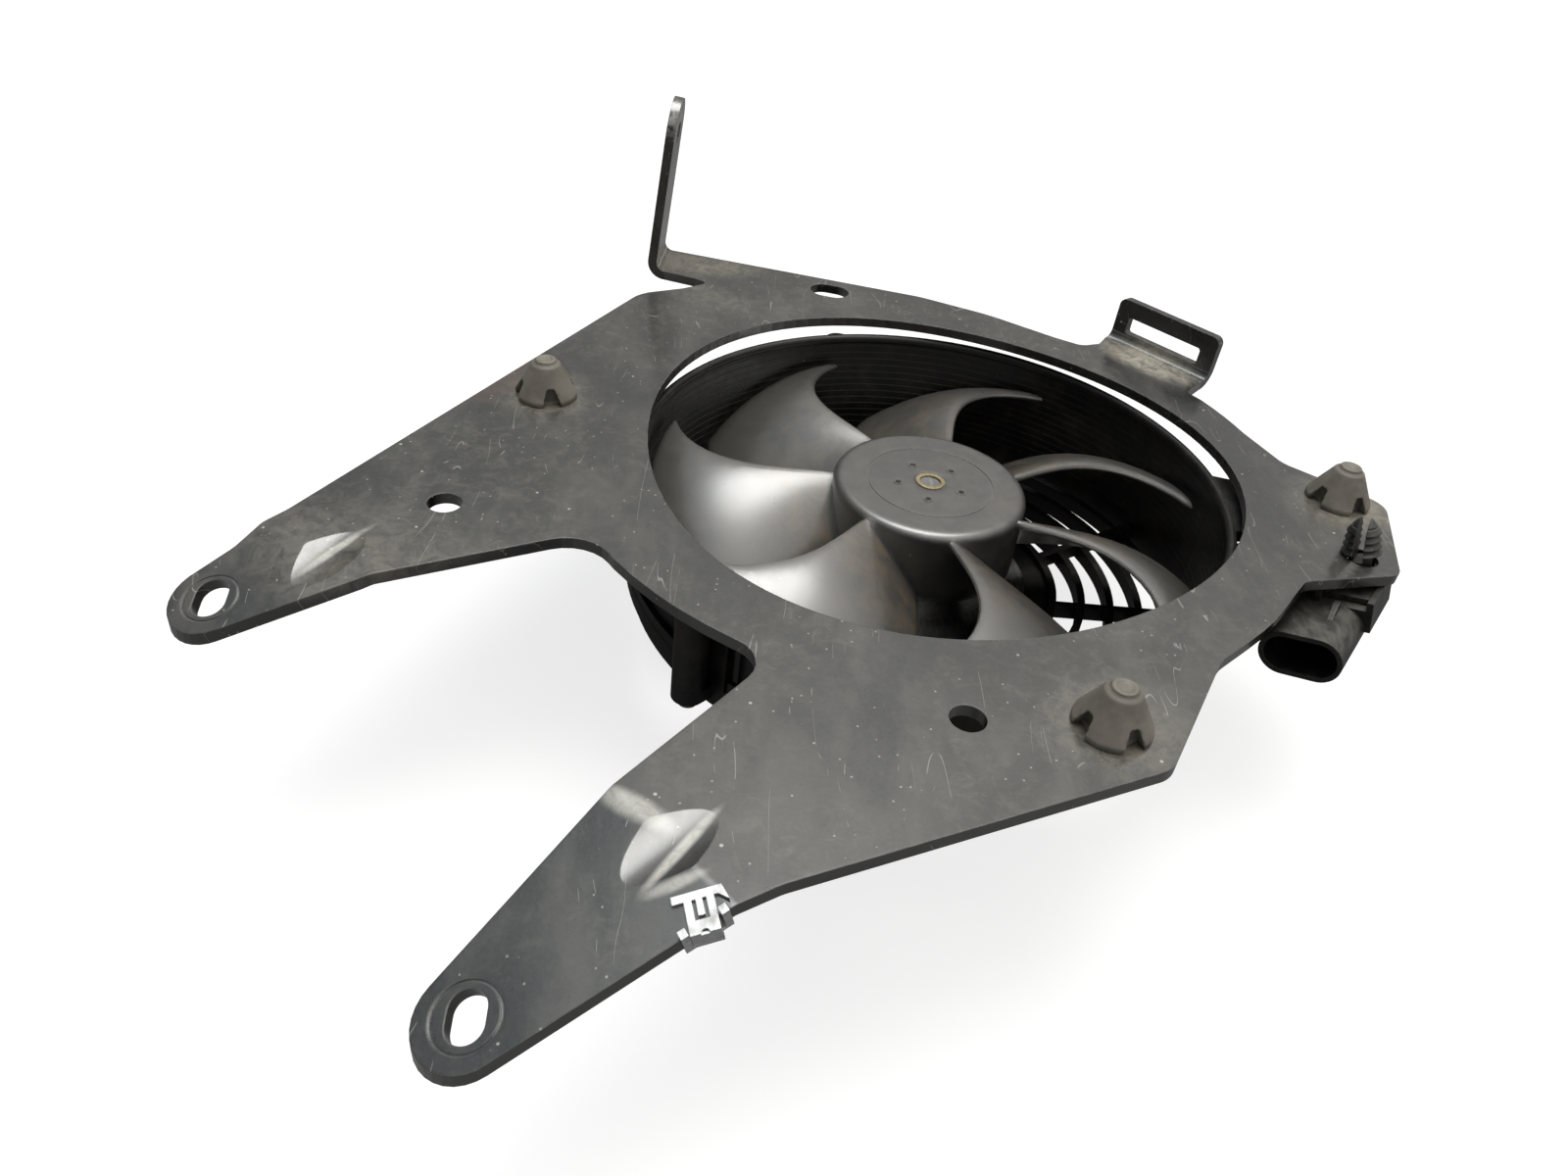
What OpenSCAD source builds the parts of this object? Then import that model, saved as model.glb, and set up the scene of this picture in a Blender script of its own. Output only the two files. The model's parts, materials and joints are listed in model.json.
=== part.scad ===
// Radiator cooling fan on a bent steel bracket plate.
// Origin: centre of the motor's flat back face, on the fan axis. +Z runs up the axis to the intake side.

/* [Bracket plate] */
// Thickness of the steel sheet
plate_t = 3; // [2:0.1:4]
// Height of the plate's top face above the motor's back face
plate_top = 66; // [64:0.5:72]
// How far the plate's three-lobed opening lies outside the duct's inner wall, on average
opening_gap = 1.6; // [0:0.1:4]
// How far each lobe of the opening swells past the mean radius
opening_lobe = 2.8; // [0:0.1:4]
// Radius under which the sheet is bent, on the inside of each bend
bend_r = 3; // [1:0.25:5]
// Radius of the round end of both arms
arm_end_r = 9.2; // [8:0.1:11]
// Angle by which the left arm is bent down
left_arm_tilt = 18.4; // [5:0.2:35]
// Angle by which the front arm is bent down
front_arm_tilt = 17.8; // [5:0.2:35]
// Width of the slot at the end of the left arm
left_slot_w = 7.4; // [5:0.1:9]
// Width of the slot at the end of the front arm
front_slot_w = 6.9; // [5:0.1:9]
// Extra length of both arm slots, past their width
arm_slot_extra = 2.6; // [0:0.1:3]
// Radius of the washer's imprint around each arm slot
imprint_r = 6.2; // [5.6:0.1:7]
// Diameter of the plain hole in the left wing
left_hole_d = 8.4; // [5:0.1:11]
// Diameter of the plain hole in the front wing
front_hole_d = 8.1; // [5:0.1:11]
// Width of the oblong hole at the rear edge
rear_hole_w = 10; // [6:0.1:11]
// Length of the oblong hole at the rear edge
rear_hole_l = 13.4; // [12:0.1:20]
// Depth of the pressed dent across each arm's bend
dent_depth = 1.5; // [0.5:0.1:1.8]

/* [Upright tab] */
// Width of the upright strip
upright_w = 20; // [16:0.5:20]
// Height of its tip above the plate's top face
upright_h = 55.5; // [35:0.5:80]
// Angle through which the strip is bent up
upright_bend = 95.8; // [85:0.2:100]
// Diameter of the hole near its tip
upright_hole_d = 7; // [4:0.1:10]
// Distance from the tip to the hole's centre
upright_hole_drop = 11; // [8:0.5:20]

/* [Slotted tab] */
// Height of the slotted tab above the plate's top face
tab_h = 14; // [12:0.5:22]
// Angle through which the slotted tab is bent up
tab_bend = 88; // [80:1:90]
// Height of the slot
tab_slot_h = 5.5; // [3:0.1:6]
// Length of the slot
tab_slot_l = 27.5; // [20:0.5:30]

/* [Fan] */
// Number of blades
blade_count = 7; // [5:1:9]
// Gap between the motor case and the hub cup around it
hub_gap = 1.5; // [1:0.1:3]
// Gap between the blade tips and the duct
tip_gap = 1.7; // [1:0.1:4]
// Wall of the hub cup
hub_wall = 2; // [1.5:0.1:2.4]
// Depth of the hub cup
hub_depth = 22; // [20:0.5:25]
// Thickness of a blade near its leading edge
blade_t = 2.5; // [2:0.1:3]
// Radius of the edge between the hub's face and its side
hub_round = 2.5; // [1:0.25:4]

/* [Duct] */
// Inner radius of the duct at its bottom
duct_r = 82; // [81.5:0.1:83]
// Wall of the duct
duct_wall = 2.4; // [1.6:0.1:2.6]
// Gap between the plate's underside and the duct's lip
lip_gap = 2.3; // [1:0.1:4]
// Number of fine steps on the duct's inner wall
step_count = 13; // [4:1:16]
// How much wider the duct is at its top than at its bottom, in radius
duct_flare = 1.1; // [0.6:0.1:1.2]
// Thickness of the ears that carry the rubber mounts
ear_t = 3.5; // [2.5:0.1:5]

/* [Guard] */
// Height of the guard's upper face above the motor's back face
guard_top = 24.2; // [22:0.1:26]
// Depth of the guard's bars
bar_h = 4.5; // [3:0.1:6]
// Width of the guard's bars
bar_w = 2.2; // [1.4:0.1:3]
// Number of slanting spokes
spoke_count = 11; // [7:1:15]
// Sideways offset of each spoke from the fan axis
spoke_offset = 11.8; // [0:0.1:20]
// Thickness of the closed floor around the motor
floor_t = 2.5; // [1.5:0.1:3]
// Radius of the closed floor
floor_r = 44; // [40:0.5:48]

/* [Motor] */
// Outer radius of the motor case
case_r = 24.5; // [23:0.1:25]
// Wall of the motor case
case_wall = 1.5; // [1:0.1:2]
// Length of the motor from its back face to the case's top
motor_len = 49; // [48.5:0.1:49.5]
// Thickness of the rear cover
cover_t = 2.5; // [2:0.1:3]
// Width of the motor's mounting flange, past the case
flange_w = 9.5; // [8.5:0.1:11]
// Thickness of the mounting flange
flange_t = 2; // [1:0.1:2.4]
// Radius of the rotor shaft
shaft_r = 3; // [2.5:0.1:3.2]
// Outer radius of the two plain bearings
bush_r = 6; // [5:0.1:6.5]
// Length of the plain bearings
bush_l = 5; // [4:0.1:5.2]
// Air gap between the magnets and the armature's iron core
air_gap = 1.05; // [0.5:0.05:2]
// Thickness of the two arc magnets
magnet_t = 5.4; // [4:0.1:5.6]
// Radius of the commutator
commutator_r = 8; // [6:0.1:8.2]
// Number of armature slots and commutator bars
slot_count = 10; // [8:1:14]

/* [Rubber mounts] */
// Radius of the cone's base above the plate
cone_r = 8.7; // [7.5:0.1:10]
// Height of the cone above the plate
cone_h = 11; // [8:0.5:14]
// Radius of the neck that passes through the plate
neck_r = 6; // [4:0.1:6.5]
// Thickness of the collar between ear and plate
collar_t = 2.5; // [1.5:0.1:4]
// Radius of the stem that passes through the ear
stem_r = 5.5; // [4.5:0.1:6.5]

/* [Connector] */
// Width of the connector's mouth, outside
conn_w = 20.4; // [18:0.1:24]
// Height of the connector's mouth, outside
conn_h = 12.2; // [11:0.1:13]
// Length of the connector
conn_l = 44; // [38:0.5:46]
// Wall around the connector's mouth
conn_wall = 1.3; // [1:0.1:1.6]
// Depth of the connector's mouth
mouth_depth = 17; // [12:0.5:20]
// Angle by which the connector is rolled about its own axis
conn_roll = 14.5; // [5:0.5:16]

/* [Hidden] */
$fn = 96;

// Small gaps that fits are built with
slide_gap = 0.1;    // a neck or pin in its hole
run_gap = 0.05;     // a running fit
press_gap = 0.02;   // a pressed seat
case_gap = 0.3;     // the motor case in the guard's opening
eps = 0.01;

// Shared heights
plate_bottom = plate_top - plate_t;
ear_top = plate_bottom - collar_t;
ear_bottom = ear_top - ear_t;
lip_top = plate_bottom - lip_gap;
duct_bottom = guard_top + 4.2;
guard_bottom = guard_top - bar_h;
floor_top = guard_top - flange_t;
floor_bottom = floor_top - floor_t;
motor_boss_bottom = floor_bottom - 6;
hub_top = motor_len + 6;
hub_bottom = hub_top - hub_depth;

// Shared radii
case_in = case_r - case_wall;
hub_r = case_r + hub_gap + hub_wall;
tip_r = duct_r - tip_gap;
opening_r = duct_r + opening_gap;
flange_r = case_r + flange_w;
core_r = case_in - run_gap - magnet_t - air_gap;

// Places on the plate, seen from above, with the fan axis at zero
left_tip = [-169.2, -82.3];
front_tip = [-94.1, -176];
left_hole = [-125.8, -47.6];
front_hole = [-5.1, -110];
rear_hole = [-27.2, 103.3];
rear_edge_angle = -12.7;
mount_left = [-110.7, 11];
mount_right = [112.8, -8.6];
mount_front = [25.4, -108.7];
left_bend = [-145.8, -71];
left_arm_dir = 240.31;
front_bend = [-62.9, -147.2];
front_arm_dir = 223;
upright_root = [-84.2, 116];
upright_dir = 175.5;
tab_right = [93.5, 58.9];
tab_left = [67.6, 86.5];
tab_dir = 43.2;
tab_w = norm(tab_left - tab_right);
gap_r = 105.3;
front_rim_r = 100.8;
rear_rim_r = 100.5;

// Connector placement
mouth_pos = [88.4, -62, 51];
conn_heading = 53;
clip_pos = [4.5, 32];
clip_collar_r = 6;
clip_stem_r = 2.9;
clip_hole_r = 4.2;

// Points of a circular arc
function arc(c, r, a0, a1, steps) =
    [for (i = [0:steps]) let (a = a0 + (a1 - a0) * i / steps) [c[0] + r * cos(a), c[1] + r * sin(a)]];

// An outline given by corners [x, y, radius], with each corner rounded by its radius
function unit(v) = v / norm(v);
function corner_arc(p0, p1, p2, r, steps = 6) =
    let (u = unit(p0 - p1), v = unit(p2 - p1), half = acos(u * v) / 2, mid = unit(u + v),
         c = p1 + mid * r / sin(half), side = u[0] * v[1] - u[1] * v[0] > 0 ? -1 : 1,
         start = atan2(-mid[1], -mid[0]), span = 90 - half)
    [for (i = [0:steps]) let (a = start - side * span + side * 2 * span * i / steps)
        c + r * [cos(a), sin(a)]];
function rounded(pts) = let (n = len(pts)) [
    for (i = [0:n - 1])
        let (p = pts[i], a = pts[(i + n - 1) % n], b = pts[(i + 1) % n], r = p[2])
        each (r > 0 ? corner_arc([a[0], a[1]], [p[0], p[1]], [b[0], b[1]], r) : [[p[0], p[1]]])
];
function sharp(pts) = [for (p = pts) [p[0], p[1], 0]];
function rounded_box(w, h, r) =
    rounded([[-w / 2, -h / 2, r], [w / 2, -h / 2, r], [w / 2, h / 2, r], [-w / 2, h / 2, r]]);

// A slot of the given length and width along X, centred
module slot_2d(length, width) {
    square([length - width, width], center = true);
    for (side = [-1, 1]) translate([side * (length - width) / 2, 0]) circle(d = width);
}

// Ring between two radii, from one height to another
module ring(r_out, r_in, z0, z1) {
    translate([0, 0, z0]) difference() {
        cylinder(r = r_out, h = z1 - z0);
        translate([0, 0, -1]) cylinder(r = r_in, h = z1 - z0 + 2);
    }
}

// Side profile of a downward bend with its straight leg. The flat sheet's top is at zero and the bend
// starts at x = 0; a short stub reaches back into the flat sheet.
bend_steps = 12;
bend_stub = 0.5;
function bend_profile(angle, leg) =
    let (r_out = bend_r + plate_t, c = [0, -r_out], away = leg * [cos(angle), -sin(angle)],
         outer = arc(c, r_out, 90, 90 - angle, bend_steps),
         inner = arc(c, bend_r, 90 - angle, 90, bend_steps))
    concat([[-bend_stub, 0]], outer, [outer[bend_steps] + away, inner[0] + away],
           inner, [[-bend_stub, -plate_t]]);
// The same bend turned upward
function up_profile(angle, leg) = [for (p = bend_profile(angle, leg)) [p[0], -plate_t - p[1]]];

module side_extrude(width) {
    rotate([90, 0, 0]) linear_extrude(width, center = true) children();
}

// Places children in the frame of an arm: x runs outward along the plate's top face
module arm_frame(pos, heading) {
    translate([pos[0], pos[1], plate_top]) rotate([0, 0, heading]) children();
}

// Places children on the tilted top face of an arm, over the point that lies there in plan
module on_arm(pos, heading, tilt, plan_point) {
    d = plan_point - pos;
    along = d[0] * cos(heading) + d[1] * sin(heading);
    across = -d[0] * sin(heading) + d[1] * cos(heading);
    r_out = bend_r + plate_t;
    reach = (along - r_out * sin(tilt)) / cos(tilt);
    arm_frame(pos, heading)
        translate([0, across, -r_out]) rotate([0, tilt, 0]) translate([reach, 0, r_out]) children();
}

// Places children past an upward bend, with their x along the strip and z on its inner face
module past_up_bend(pos, heading, angle) {
    arm_frame(pos, heading)
        translate([0, 0, bend_r]) rotate([0, -angle, 0]) translate([0, 0, -bend_r]) children();
}

// Plate outline, counterclockwise from the left arm's end
outline_corners = concat(
    sharp(arc(left_tip, arm_end_r, 139, 294, 14)),
    [[-137, -78.9, 20], [-90, -54.6, 11]],
    sharp(arc([0, 0], gap_r, 218, 239, 5)),
    [[-45.3, -95.1, 8]],
    sharp(arc(front_tip, arm_end_r, 143, 302, 14)),
    [[-43.1, -155.4, 15], [35.7, -120.4, 8], [56.3, -84.8, 12]],
    sharp(arc([0, 0], front_rim_r, -49, -35, 4)),
    [[88.6, -50.2, 6], [116.3, -43.9, 4.5], [127, -9, 7], [103.6, 9.6, 9]],
    sharp(arc([0, 0], rear_rim_r, 15, 27, 4)),
    [[86.2, 50.3, 1.5], [tab_right[0], tab_right[1], 0], [tab_left[0], tab_left[1], 0]],
    [[64.2, 80.9, 2.5], [57.6, 78, 5], [48.7, 82.7, 15], [28, 96, 40], [5, 105.8, 30]],
    [[-83.4, 126, 0], [-85, 106, 0], [-74, 102.6, 3], [-69.6, 99.7, 1.5], [-77.6, 93.4, 3]],
    [[-91.6, 85.8, 14], [-160.2, -55.6, 15], [-168.4, -68.6, 10]]
);

function opening_point(a) =
    let (r = opening_r + opening_lobe * cos(3 * (a - 3.5))) [r * cos(a), r * sin(a)];

module plate_outline() {
    polygon(rounded(outline_corners));
}

module arm_cut(pos, heading) {
    arm_frame(pos, heading) translate([-bend_stub / 2, -35, -plate_t - 1]) cube([75, 70, plate_t + 2]);
}

// One arm past its bend: the bent sheet, trimmed to the plan outline
module bent_arm(pos, heading, tilt) {
    intersection() {
        linear_extrude(2 * plate_top) plate_outline();
        arm_frame(pos, heading) side_extrude(60) polygon(bend_profile(tilt, 62));
    }
}

// Trough that presses a dent across a bend, along the arm
dent_r = 15;
dent_back = 22;
dent_reach = 24;
module dent_trough(pos, heading, tilt) {
    arm_frame(pos, heading) rotate([0, tilt / 2, 0]) translate([-dent_back, 0, dent_r - dent_depth])
        rotate([0, 90, 0]) cylinder(r = dent_r, h = dent_back + dent_reach);
}

// Cuts two corners of a strip's end round; the strip runs along x to the given length
module round_end(length, width, r) {
    for (side = [-1, 1]) translate([length - r, side * (width / 2 - r)]) difference() {
        translate([0, side > 0 ? 0 : -r - 1]) square(r + 1);
        circle(r = r);
    }
}

module upright_tab() {
    lift = bend_r * (1 - cos(upright_bend));
    strip = (upright_h - lift) / sin(upright_bend);
    difference() {
        arm_frame(upright_root, upright_dir) side_extrude(upright_w) polygon(up_profile(upright_bend, strip));
        past_up_bend(upright_root, upright_dir, upright_bend) translate([0, 0, -plate_t - 1])
            linear_extrude(plate_t + 2) {
                round_end(strip, upright_w, upright_w / 2);
                translate([strip - upright_hole_drop, 0]) circle(d = upright_hole_d);
            }
    }
}

module slotted_tab() {
    centre = (tab_left + tab_right) / 2;
    strip = (tab_h - bend_r * (1 - cos(tab_bend))) / sin(tab_bend);
    slot_top = 5.5;
    slot_shift = 0.3;
    difference() {
        arm_frame(centre, tab_dir) side_extrude(tab_w) polygon(up_profile(tab_bend, strip));
        past_up_bend(centre, tab_dir, tab_bend) translate([0, 0, -plate_t - 1]) linear_extrude(plate_t + 2) {
            round_end(strip, tab_w, 2.5);
            translate([strip - slot_top - tab_slot_h / 2, slot_shift])
                polygon(rounded_box(tab_slot_h, tab_slot_l, 1));
        }
    }
}

module bracket_plate() color([0.2, 0.21, 0.21]) {
    difference() {
        union() {
            difference() {
                translate([0, 0, plate_bottom]) linear_extrude(plate_t) difference() {
                    plate_outline();
                    polygon([for (a = [0:3:357]) opening_point(a)]);
                }
                arm_cut(left_bend, left_arm_dir);
                arm_cut(front_bend, front_arm_dir);
            }
            bent_arm(left_bend, left_arm_dir, left_arm_tilt);
            bent_arm(front_bend, front_arm_dir, front_arm_tilt);
            upright_tab();
            slotted_tab();
        }
        dent_trough(left_bend, left_arm_dir, left_arm_tilt);
        dent_trough(front_bend, front_arm_dir, front_arm_tilt);
        translate([0, 0, plate_bottom - 1]) {
            translate(left_hole) cylinder(d = left_hole_d, h = plate_t + 2);
            translate(front_hole) cylinder(d = front_hole_d, h = plate_t + 2);
            translate(rear_hole) rotate(rear_edge_angle)
                linear_extrude(plate_t + 2) slot_2d(rear_hole_l, rear_hole_w);
            for (p = [mount_left, mount_right, mount_front])
                translate(p) cylinder(r = neck_r + slide_gap, h = plate_t + 2);
            translate(clip_hole()) cylinder(r = clip_hole_r, h = plate_t + 2);
        }
        arm_slot(left_bend, left_arm_dir, left_arm_tilt, left_tip, left_slot_w);
        arm_slot(front_bend, front_arm_dir, front_arm_tilt, front_tip, front_slot_w);
    }
}

// Slot at an arm's end, long in the plate's Y direction, inside the washer's imprint
module arm_slot(pos, heading, tilt, tip, width) {
    on_arm(pos, heading, tilt, tip) {
        translate([0, 0, -plate_t - 1]) rotate(90 - heading) linear_extrude(plate_t + 2)
            slot_2d(width + arm_slot_extra, width);
        ring(imprint_r + 0.25, imprint_r - 0.25, -0.25, 1);
    }
}

// Where the fir-tree stem crosses the middle of the plate's thickness
function clip_height() =
    (plate_top - plate_t / 2 - mouth_pos[2] - clip_pos[0] * sin(conn_roll)) / cos(conn_roll);
function clip_hole() =
    let (across = clip_pos[0] * cos(conn_roll) - clip_height() * sin(conn_roll), h = conn_heading)
    [mouth_pos[0] + clip_pos[1] * cos(h) + across * sin(h),
     mouth_pos[1] + clip_pos[1] * sin(h) - across * cos(h)];

// Rubber mount: head under the ear, stem, collar, neck through the plate and a notched cone on top
module rubber_mount(pos) {
    head_r = 8;
    head_t = 3;
    top_r = 2.9;
    skirt_h = 1.2;
    notch_in = 5.2;
    z_collar = -plate_t;
    z_ear = z_collar - collar_t;
    z_head = z_ear - ear_t;
    translate([pos[0], pos[1], plate_top]) difference() {
        rotate_extrude() polygon([
            [0, z_head - head_t], [head_r - 1, z_head - head_t], [head_r, z_head - head_t + 1],
            [head_r, z_head], [stem_r, z_head], [stem_r, z_ear], [cone_r - 0.2, z_ear],
            [cone_r - 0.2, z_collar], [neck_r, z_collar], [neck_r, 0], [cone_r, 0], [cone_r, skirt_h],
            [top_r + 1.1, cone_h - 1.4], [top_r, cone_h - 0.7], [top_r, cone_h], [1.9, cone_h],
            [1.9, cone_h - 0.4], [0, cone_h - 0.4]
        ]);
        for (a = [20:90:290]) rotate([0, 0, a]) translate([notch_in, 0, 0]) rotate([90, 0, 90])
            linear_extrude(cone_r) polygon([[-2.7, -eps], [2.7, -eps], [1, 4.6], [-1, 4.6]]);
    }
}

module rubber_mount_left() color([0.33, 0.32, 0.3]) rubber_mount(mount_left);
module rubber_mount_right() color([0.33, 0.32, 0.3]) rubber_mount(mount_right);
module rubber_mount_front() color([0.33, 0.32, 0.3]) rubber_mount(mount_front);

// Spring-steel clip pushed over the outer edge of the front arm, just past its bend. On top it has two legs
// with a tongue between them and a cross bar; below it a base plate whose two prongs wrap the edge.
clip_t = 0.6;
clip_l = 9.4;
clip_legs = 5.4;
clip_reach = 6.2;
clip_bar = 1.6;
clip_base = 5;
clip_turn = -18;
clip_edge = [-56.5, -163.6];
clip_edge_dir = 31.6;
module edge_clip() color([0.85, 0.86, 0.87]) {
    face_gap = 0.1;
    prong_gap = 0.4;
    web_gap = 1.2;
    leg_w = 1.4;
    slit_w = 0.7;
    cross_bar = 0.8;
    prong_w = 1.5;
    prong_h = 1.6;
    hook = 1.1;
    strip_in = 1.5;
    outer = web_gap + clip_t;
    base_z = -plate_t - face_gap - clip_t;
    on_arm(front_bend, front_arm_dir, front_arm_tilt, clip_edge)
        rotate(clip_edge_dir + 180 - front_arm_dir) {
            translate([-clip_l / 2, -strip_in, base_z]) cube([clip_l, strip_in + prong_gap + clip_t, clip_t]);
            for (side = [-1, 1]) translate([side * (clip_l - prong_w) / 2 - prong_w / 2, prong_gap, 0]) {
                translate([0, 0, base_z]) cube([prong_w, clip_t, prong_h - base_z]);
                translate([0, -hook, prong_h - clip_t]) cube([prong_w, hook + eps, clip_t]);
            }
            rotate(clip_turn) {
                translate([-clip_legs / 2, -clip_base, base_z]) cube([clip_legs, clip_base + outer, clip_t]);
                translate([-clip_legs / 2, web_gap, base_z])
                    cube([clip_legs, clip_t, face_gap - base_z + eps]);
                translate([0, 0, face_gap]) linear_extrude(clip_t) difference() {
                    union() {
                        translate([-clip_legs / 2, -clip_reach]) square([clip_legs, clip_reach + outer]);
                        translate([0, -clip_reach]) polygon([
                            [-clip_l / 2 - 0.5, clip_bar + 1.6], [-clip_l / 2 + 0.4, 0], [clip_l / 2, 0],
                            [clip_l / 2, clip_bar], [-clip_l / 2 + 1.3, clip_bar]
                        ]);
                    }
                    for (x = [leg_w - clip_legs / 2, clip_legs / 2 - leg_w - slit_w])
                        translate([x, clip_bar - clip_reach])
                            square([slit_w, clip_reach - clip_bar - cross_bar]);
                    translate([leg_w - clip_legs / 2, -cross_bar - slit_w])
                        square([clip_legs - 2 * leg_w, slit_w]);
                    translate([0, outer]) circle(r = 0.8, $fn = 32);
                }
            }
        }
}

// Duct with a rounded lip, a finely stepped inner wall, ears, screw bosses and outer ribs
lug_angles = [105, 225, 345];
boss_r = 4.5;
boss_reach = 5.6;
lug_pad_w = 17;
lug_web_w = 4;
boss_centre_r = duct_r + duct_wall + boss_reach;
pilot_r = 2;
pilot_depth = 15;
module shroud_ring() color([0.09, 0.09, 0.09]) {
    r_out = duct_r + duct_wall;
    lip_r = 1.5;
    wall_top = lip_top - lip_r;
    step_h = (wall_top - duct_bottom) / step_count;
    step_depth = duct_flare / (step_count - 1);
    difference() {
        union() {
            rotate_extrude() {
                polygon(concat(
                    [[r_out, duct_bottom], [r_out, wall_top], [r_out - duct_wall / 2, wall_top]],
                    [for (i = [step_count - 1:-1:0]) each [
                        [duct_r + step_depth * i, duct_bottom + step_h * (i + 1)],
                        [duct_r + step_depth * i, duct_bottom + step_h * i]
                    ]]
                ));
                translate([r_out - lip_r + 0.5, wall_top]) circle(r = lip_r, $fn = 32);
            }
            for (p = [mount_left, mount_right, mount_front]) shroud_ear(p);
            for (a = lug_angles) rotate([0, 0, a]) translate([0, 0, duct_bottom])
                linear_extrude(ear_bottom - duct_bottom - 1) {
                    translate([boss_centre_r, 0]) circle(r = boss_r, $fn = 48);
                    translate([r_out - 0.8, -lug_pad_w / 2]) square([2.4, lug_pad_w]);
                    translate([r_out - 0.8, -lug_web_w / 2]) square([boss_centre_r - r_out, lug_web_w]);
                }
            for (a = [7.5:15:352.5]) rotate([0, 0, a]) translate([r_out - 0.6, -0.8, duct_bottom + 5])
                cube([1.9, 1.6, wall_top - duct_bottom - 8]);
        }
        for (p = [mount_left, mount_right, mount_front])
            translate([p[0], p[1], ear_bottom - 1]) cylinder(r = stem_r + slide_gap, h = ear_t + 2);
        for (a = lug_angles) rotate([0, 0, a]) translate([boss_centre_r, 0, duct_bottom - 1])
            cylinder(r = pilot_r, h = pilot_depth);
    }
}

// Ear from the duct's wall out to a rubber mount, with a rib beneath
module shroud_ear(p) {
    a = atan2(p[1], p[0]);
    reach = norm(p);
    r_out = duct_r + duct_wall;
    root_half = 15;
    ear_tip_r = 9.5;
    tip_half = ear_tip_r - 0.3;
    rotate([0, 0, a]) {
        translate([0, 0, ear_bottom]) linear_extrude(ear_t) {
            translate([reach, 0]) circle(r = ear_tip_r, $fn = 48);
            difference() {
                polygon([
                    [r_out - 4, -root_half], [reach + 2, -tip_half],
                    [reach + 2, tip_half], [r_out - 4, root_half]
                ]);
                circle(r = r_out - 1);
            }
        }
        translate([r_out - 1, -1.25, ear_bottom - 7]) cube([reach - r_out - 7, 2.5, 7 + eps]);
    }
}

// Guard of ring bars and slanting spokes, with a closed floor that carries the motor
bar_count = 4;
outer_bar_in = 5.2;
floor_rib_in = 1.4;
floor_rib_r = floor_r - floor_rib_in;
bar_step = (duct_r - outer_bar_in - floor_rib_r) / bar_count;
motor_screw_reach = 4.8;
motor_screw_r = case_r + motor_screw_reach;
motor_screw_angles = [90, 210, 330];
module guard_grille() color([0.07, 0.07, 0.07]) {
    rim_out = duct_r + duct_wall;
    screw_clear = pilot_r + 0.2;
    spoke_start = floor_rib_r - 1;
    spoke_end = sqrt(pow(duct_r + 0.8, 2) - pow(spoke_offset, 2));
    skirt = 1.5;
    skirt_lift = 3.5;
    skirt_step = 0.2;
    lug_clear = 0.5;
    motor_boss_r = 4.2;
    difference() {
        union() {
            ring(rim_out, duct_r, guard_bottom, duct_bottom);
            translate([0, 0, duct_bottom - 1]) linear_extrude(skirt_lift + 1) difference() {
                circle(r = rim_out + slide_gap + skirt - skirt_step);
                circle(r = rim_out + slide_gap);
                for (a = lug_angles) rotate(a) translate([duct_r, -lug_pad_w / 2 - lug_clear])
                    square([duct_wall + boss_reach, lug_pad_w + 2 * lug_clear]);
            }
            ring(rim_out + slide_gap + skirt, duct_r + 1, guard_top, duct_bottom);
            for (i = [1:bar_count]) let (r = floor_rib_r + i * bar_step)
                ring(r + bar_w / 2, r - bar_w / 2, guard_bottom, guard_top);
            ring(floor_rib_r + bar_w / 2, floor_rib_r - bar_w / 2, floor_bottom, guard_top);
            ring(floor_r, case_r + case_gap, floor_bottom, floor_top);
            for (i = [0:spoke_count - 1]) rotate([0, 0, i * 360 / spoke_count])
                translate([spoke_start, -spoke_offset - bar_w / 2, guard_bottom])
                cube([spoke_end - spoke_start, bar_w, bar_h - eps]);
            for (a = motor_screw_angles) rotate([0, 0, a]) translate([motor_screw_r, 0, motor_boss_bottom])
                cylinder(r = motor_boss_r, h = floor_bottom - motor_boss_bottom + eps, $fn = 48);
            for (a = lug_angles) rotate([0, 0, a]) translate([0, 0, guard_top])
                linear_extrude(duct_bottom - guard_top) {
                    translate([boss_centre_r, 0]) circle(r = boss_r, $fn = 48);
                    translate([rim_out - 0.5, -boss_r]) square([boss_centre_r - rim_out + 0.5, 2 * boss_r]);
                }
        }
        translate([0, 0, -1]) cylinder(r = case_r + case_gap, h = guard_top + 1);
        for (a = motor_screw_angles) rotate([0, 0, a]) translate([motor_screw_r, 0, 0])
            cylinder(r = pilot_r, h = guard_top);
        for (a = lug_angles) rotate([0, 0, a]) translate([boss_centre_r, 0, guard_top - 1])
            cylinder(r = screw_clear, h = 8);
    }
}

// Screw with a cross recess, head at the top, shank pointing down from zero
module screw(shank_r, length) {
    head_r = 3.4;
    head_h = 2.4;
    difference() {
        union() {
            translate([0, 0, -length]) cylinder(r = shank_r, h = length + eps, $fn = 32);
            cylinder(r1 = head_r, r2 = head_r * 0.75, h = head_h, $fn = 32);
        }
        for (a = [0, 90]) rotate([0, 0, a]) translate([-head_r * 0.55, -0.4, head_h - 1.2])
            cube([head_r * 1.1, 0.8, 2]);
    }
}

module motor_screws() color("silver") for (a = motor_screw_angles) rotate([0, 0, a])
    translate([motor_screw_r, 0, guard_top])
        screw(pilot_r - slide_gap, guard_top - motor_boss_bottom - 1.5);

module guard_screws() color("silver") for (a = lug_angles) rotate([0, 0, a])
    translate([boss_centre_r, 0, guard_top]) mirror([0, 0, 1])
        screw(pilot_r - slide_gap, duct_bottom - guard_top + pilot_depth - 4.2);

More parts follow.
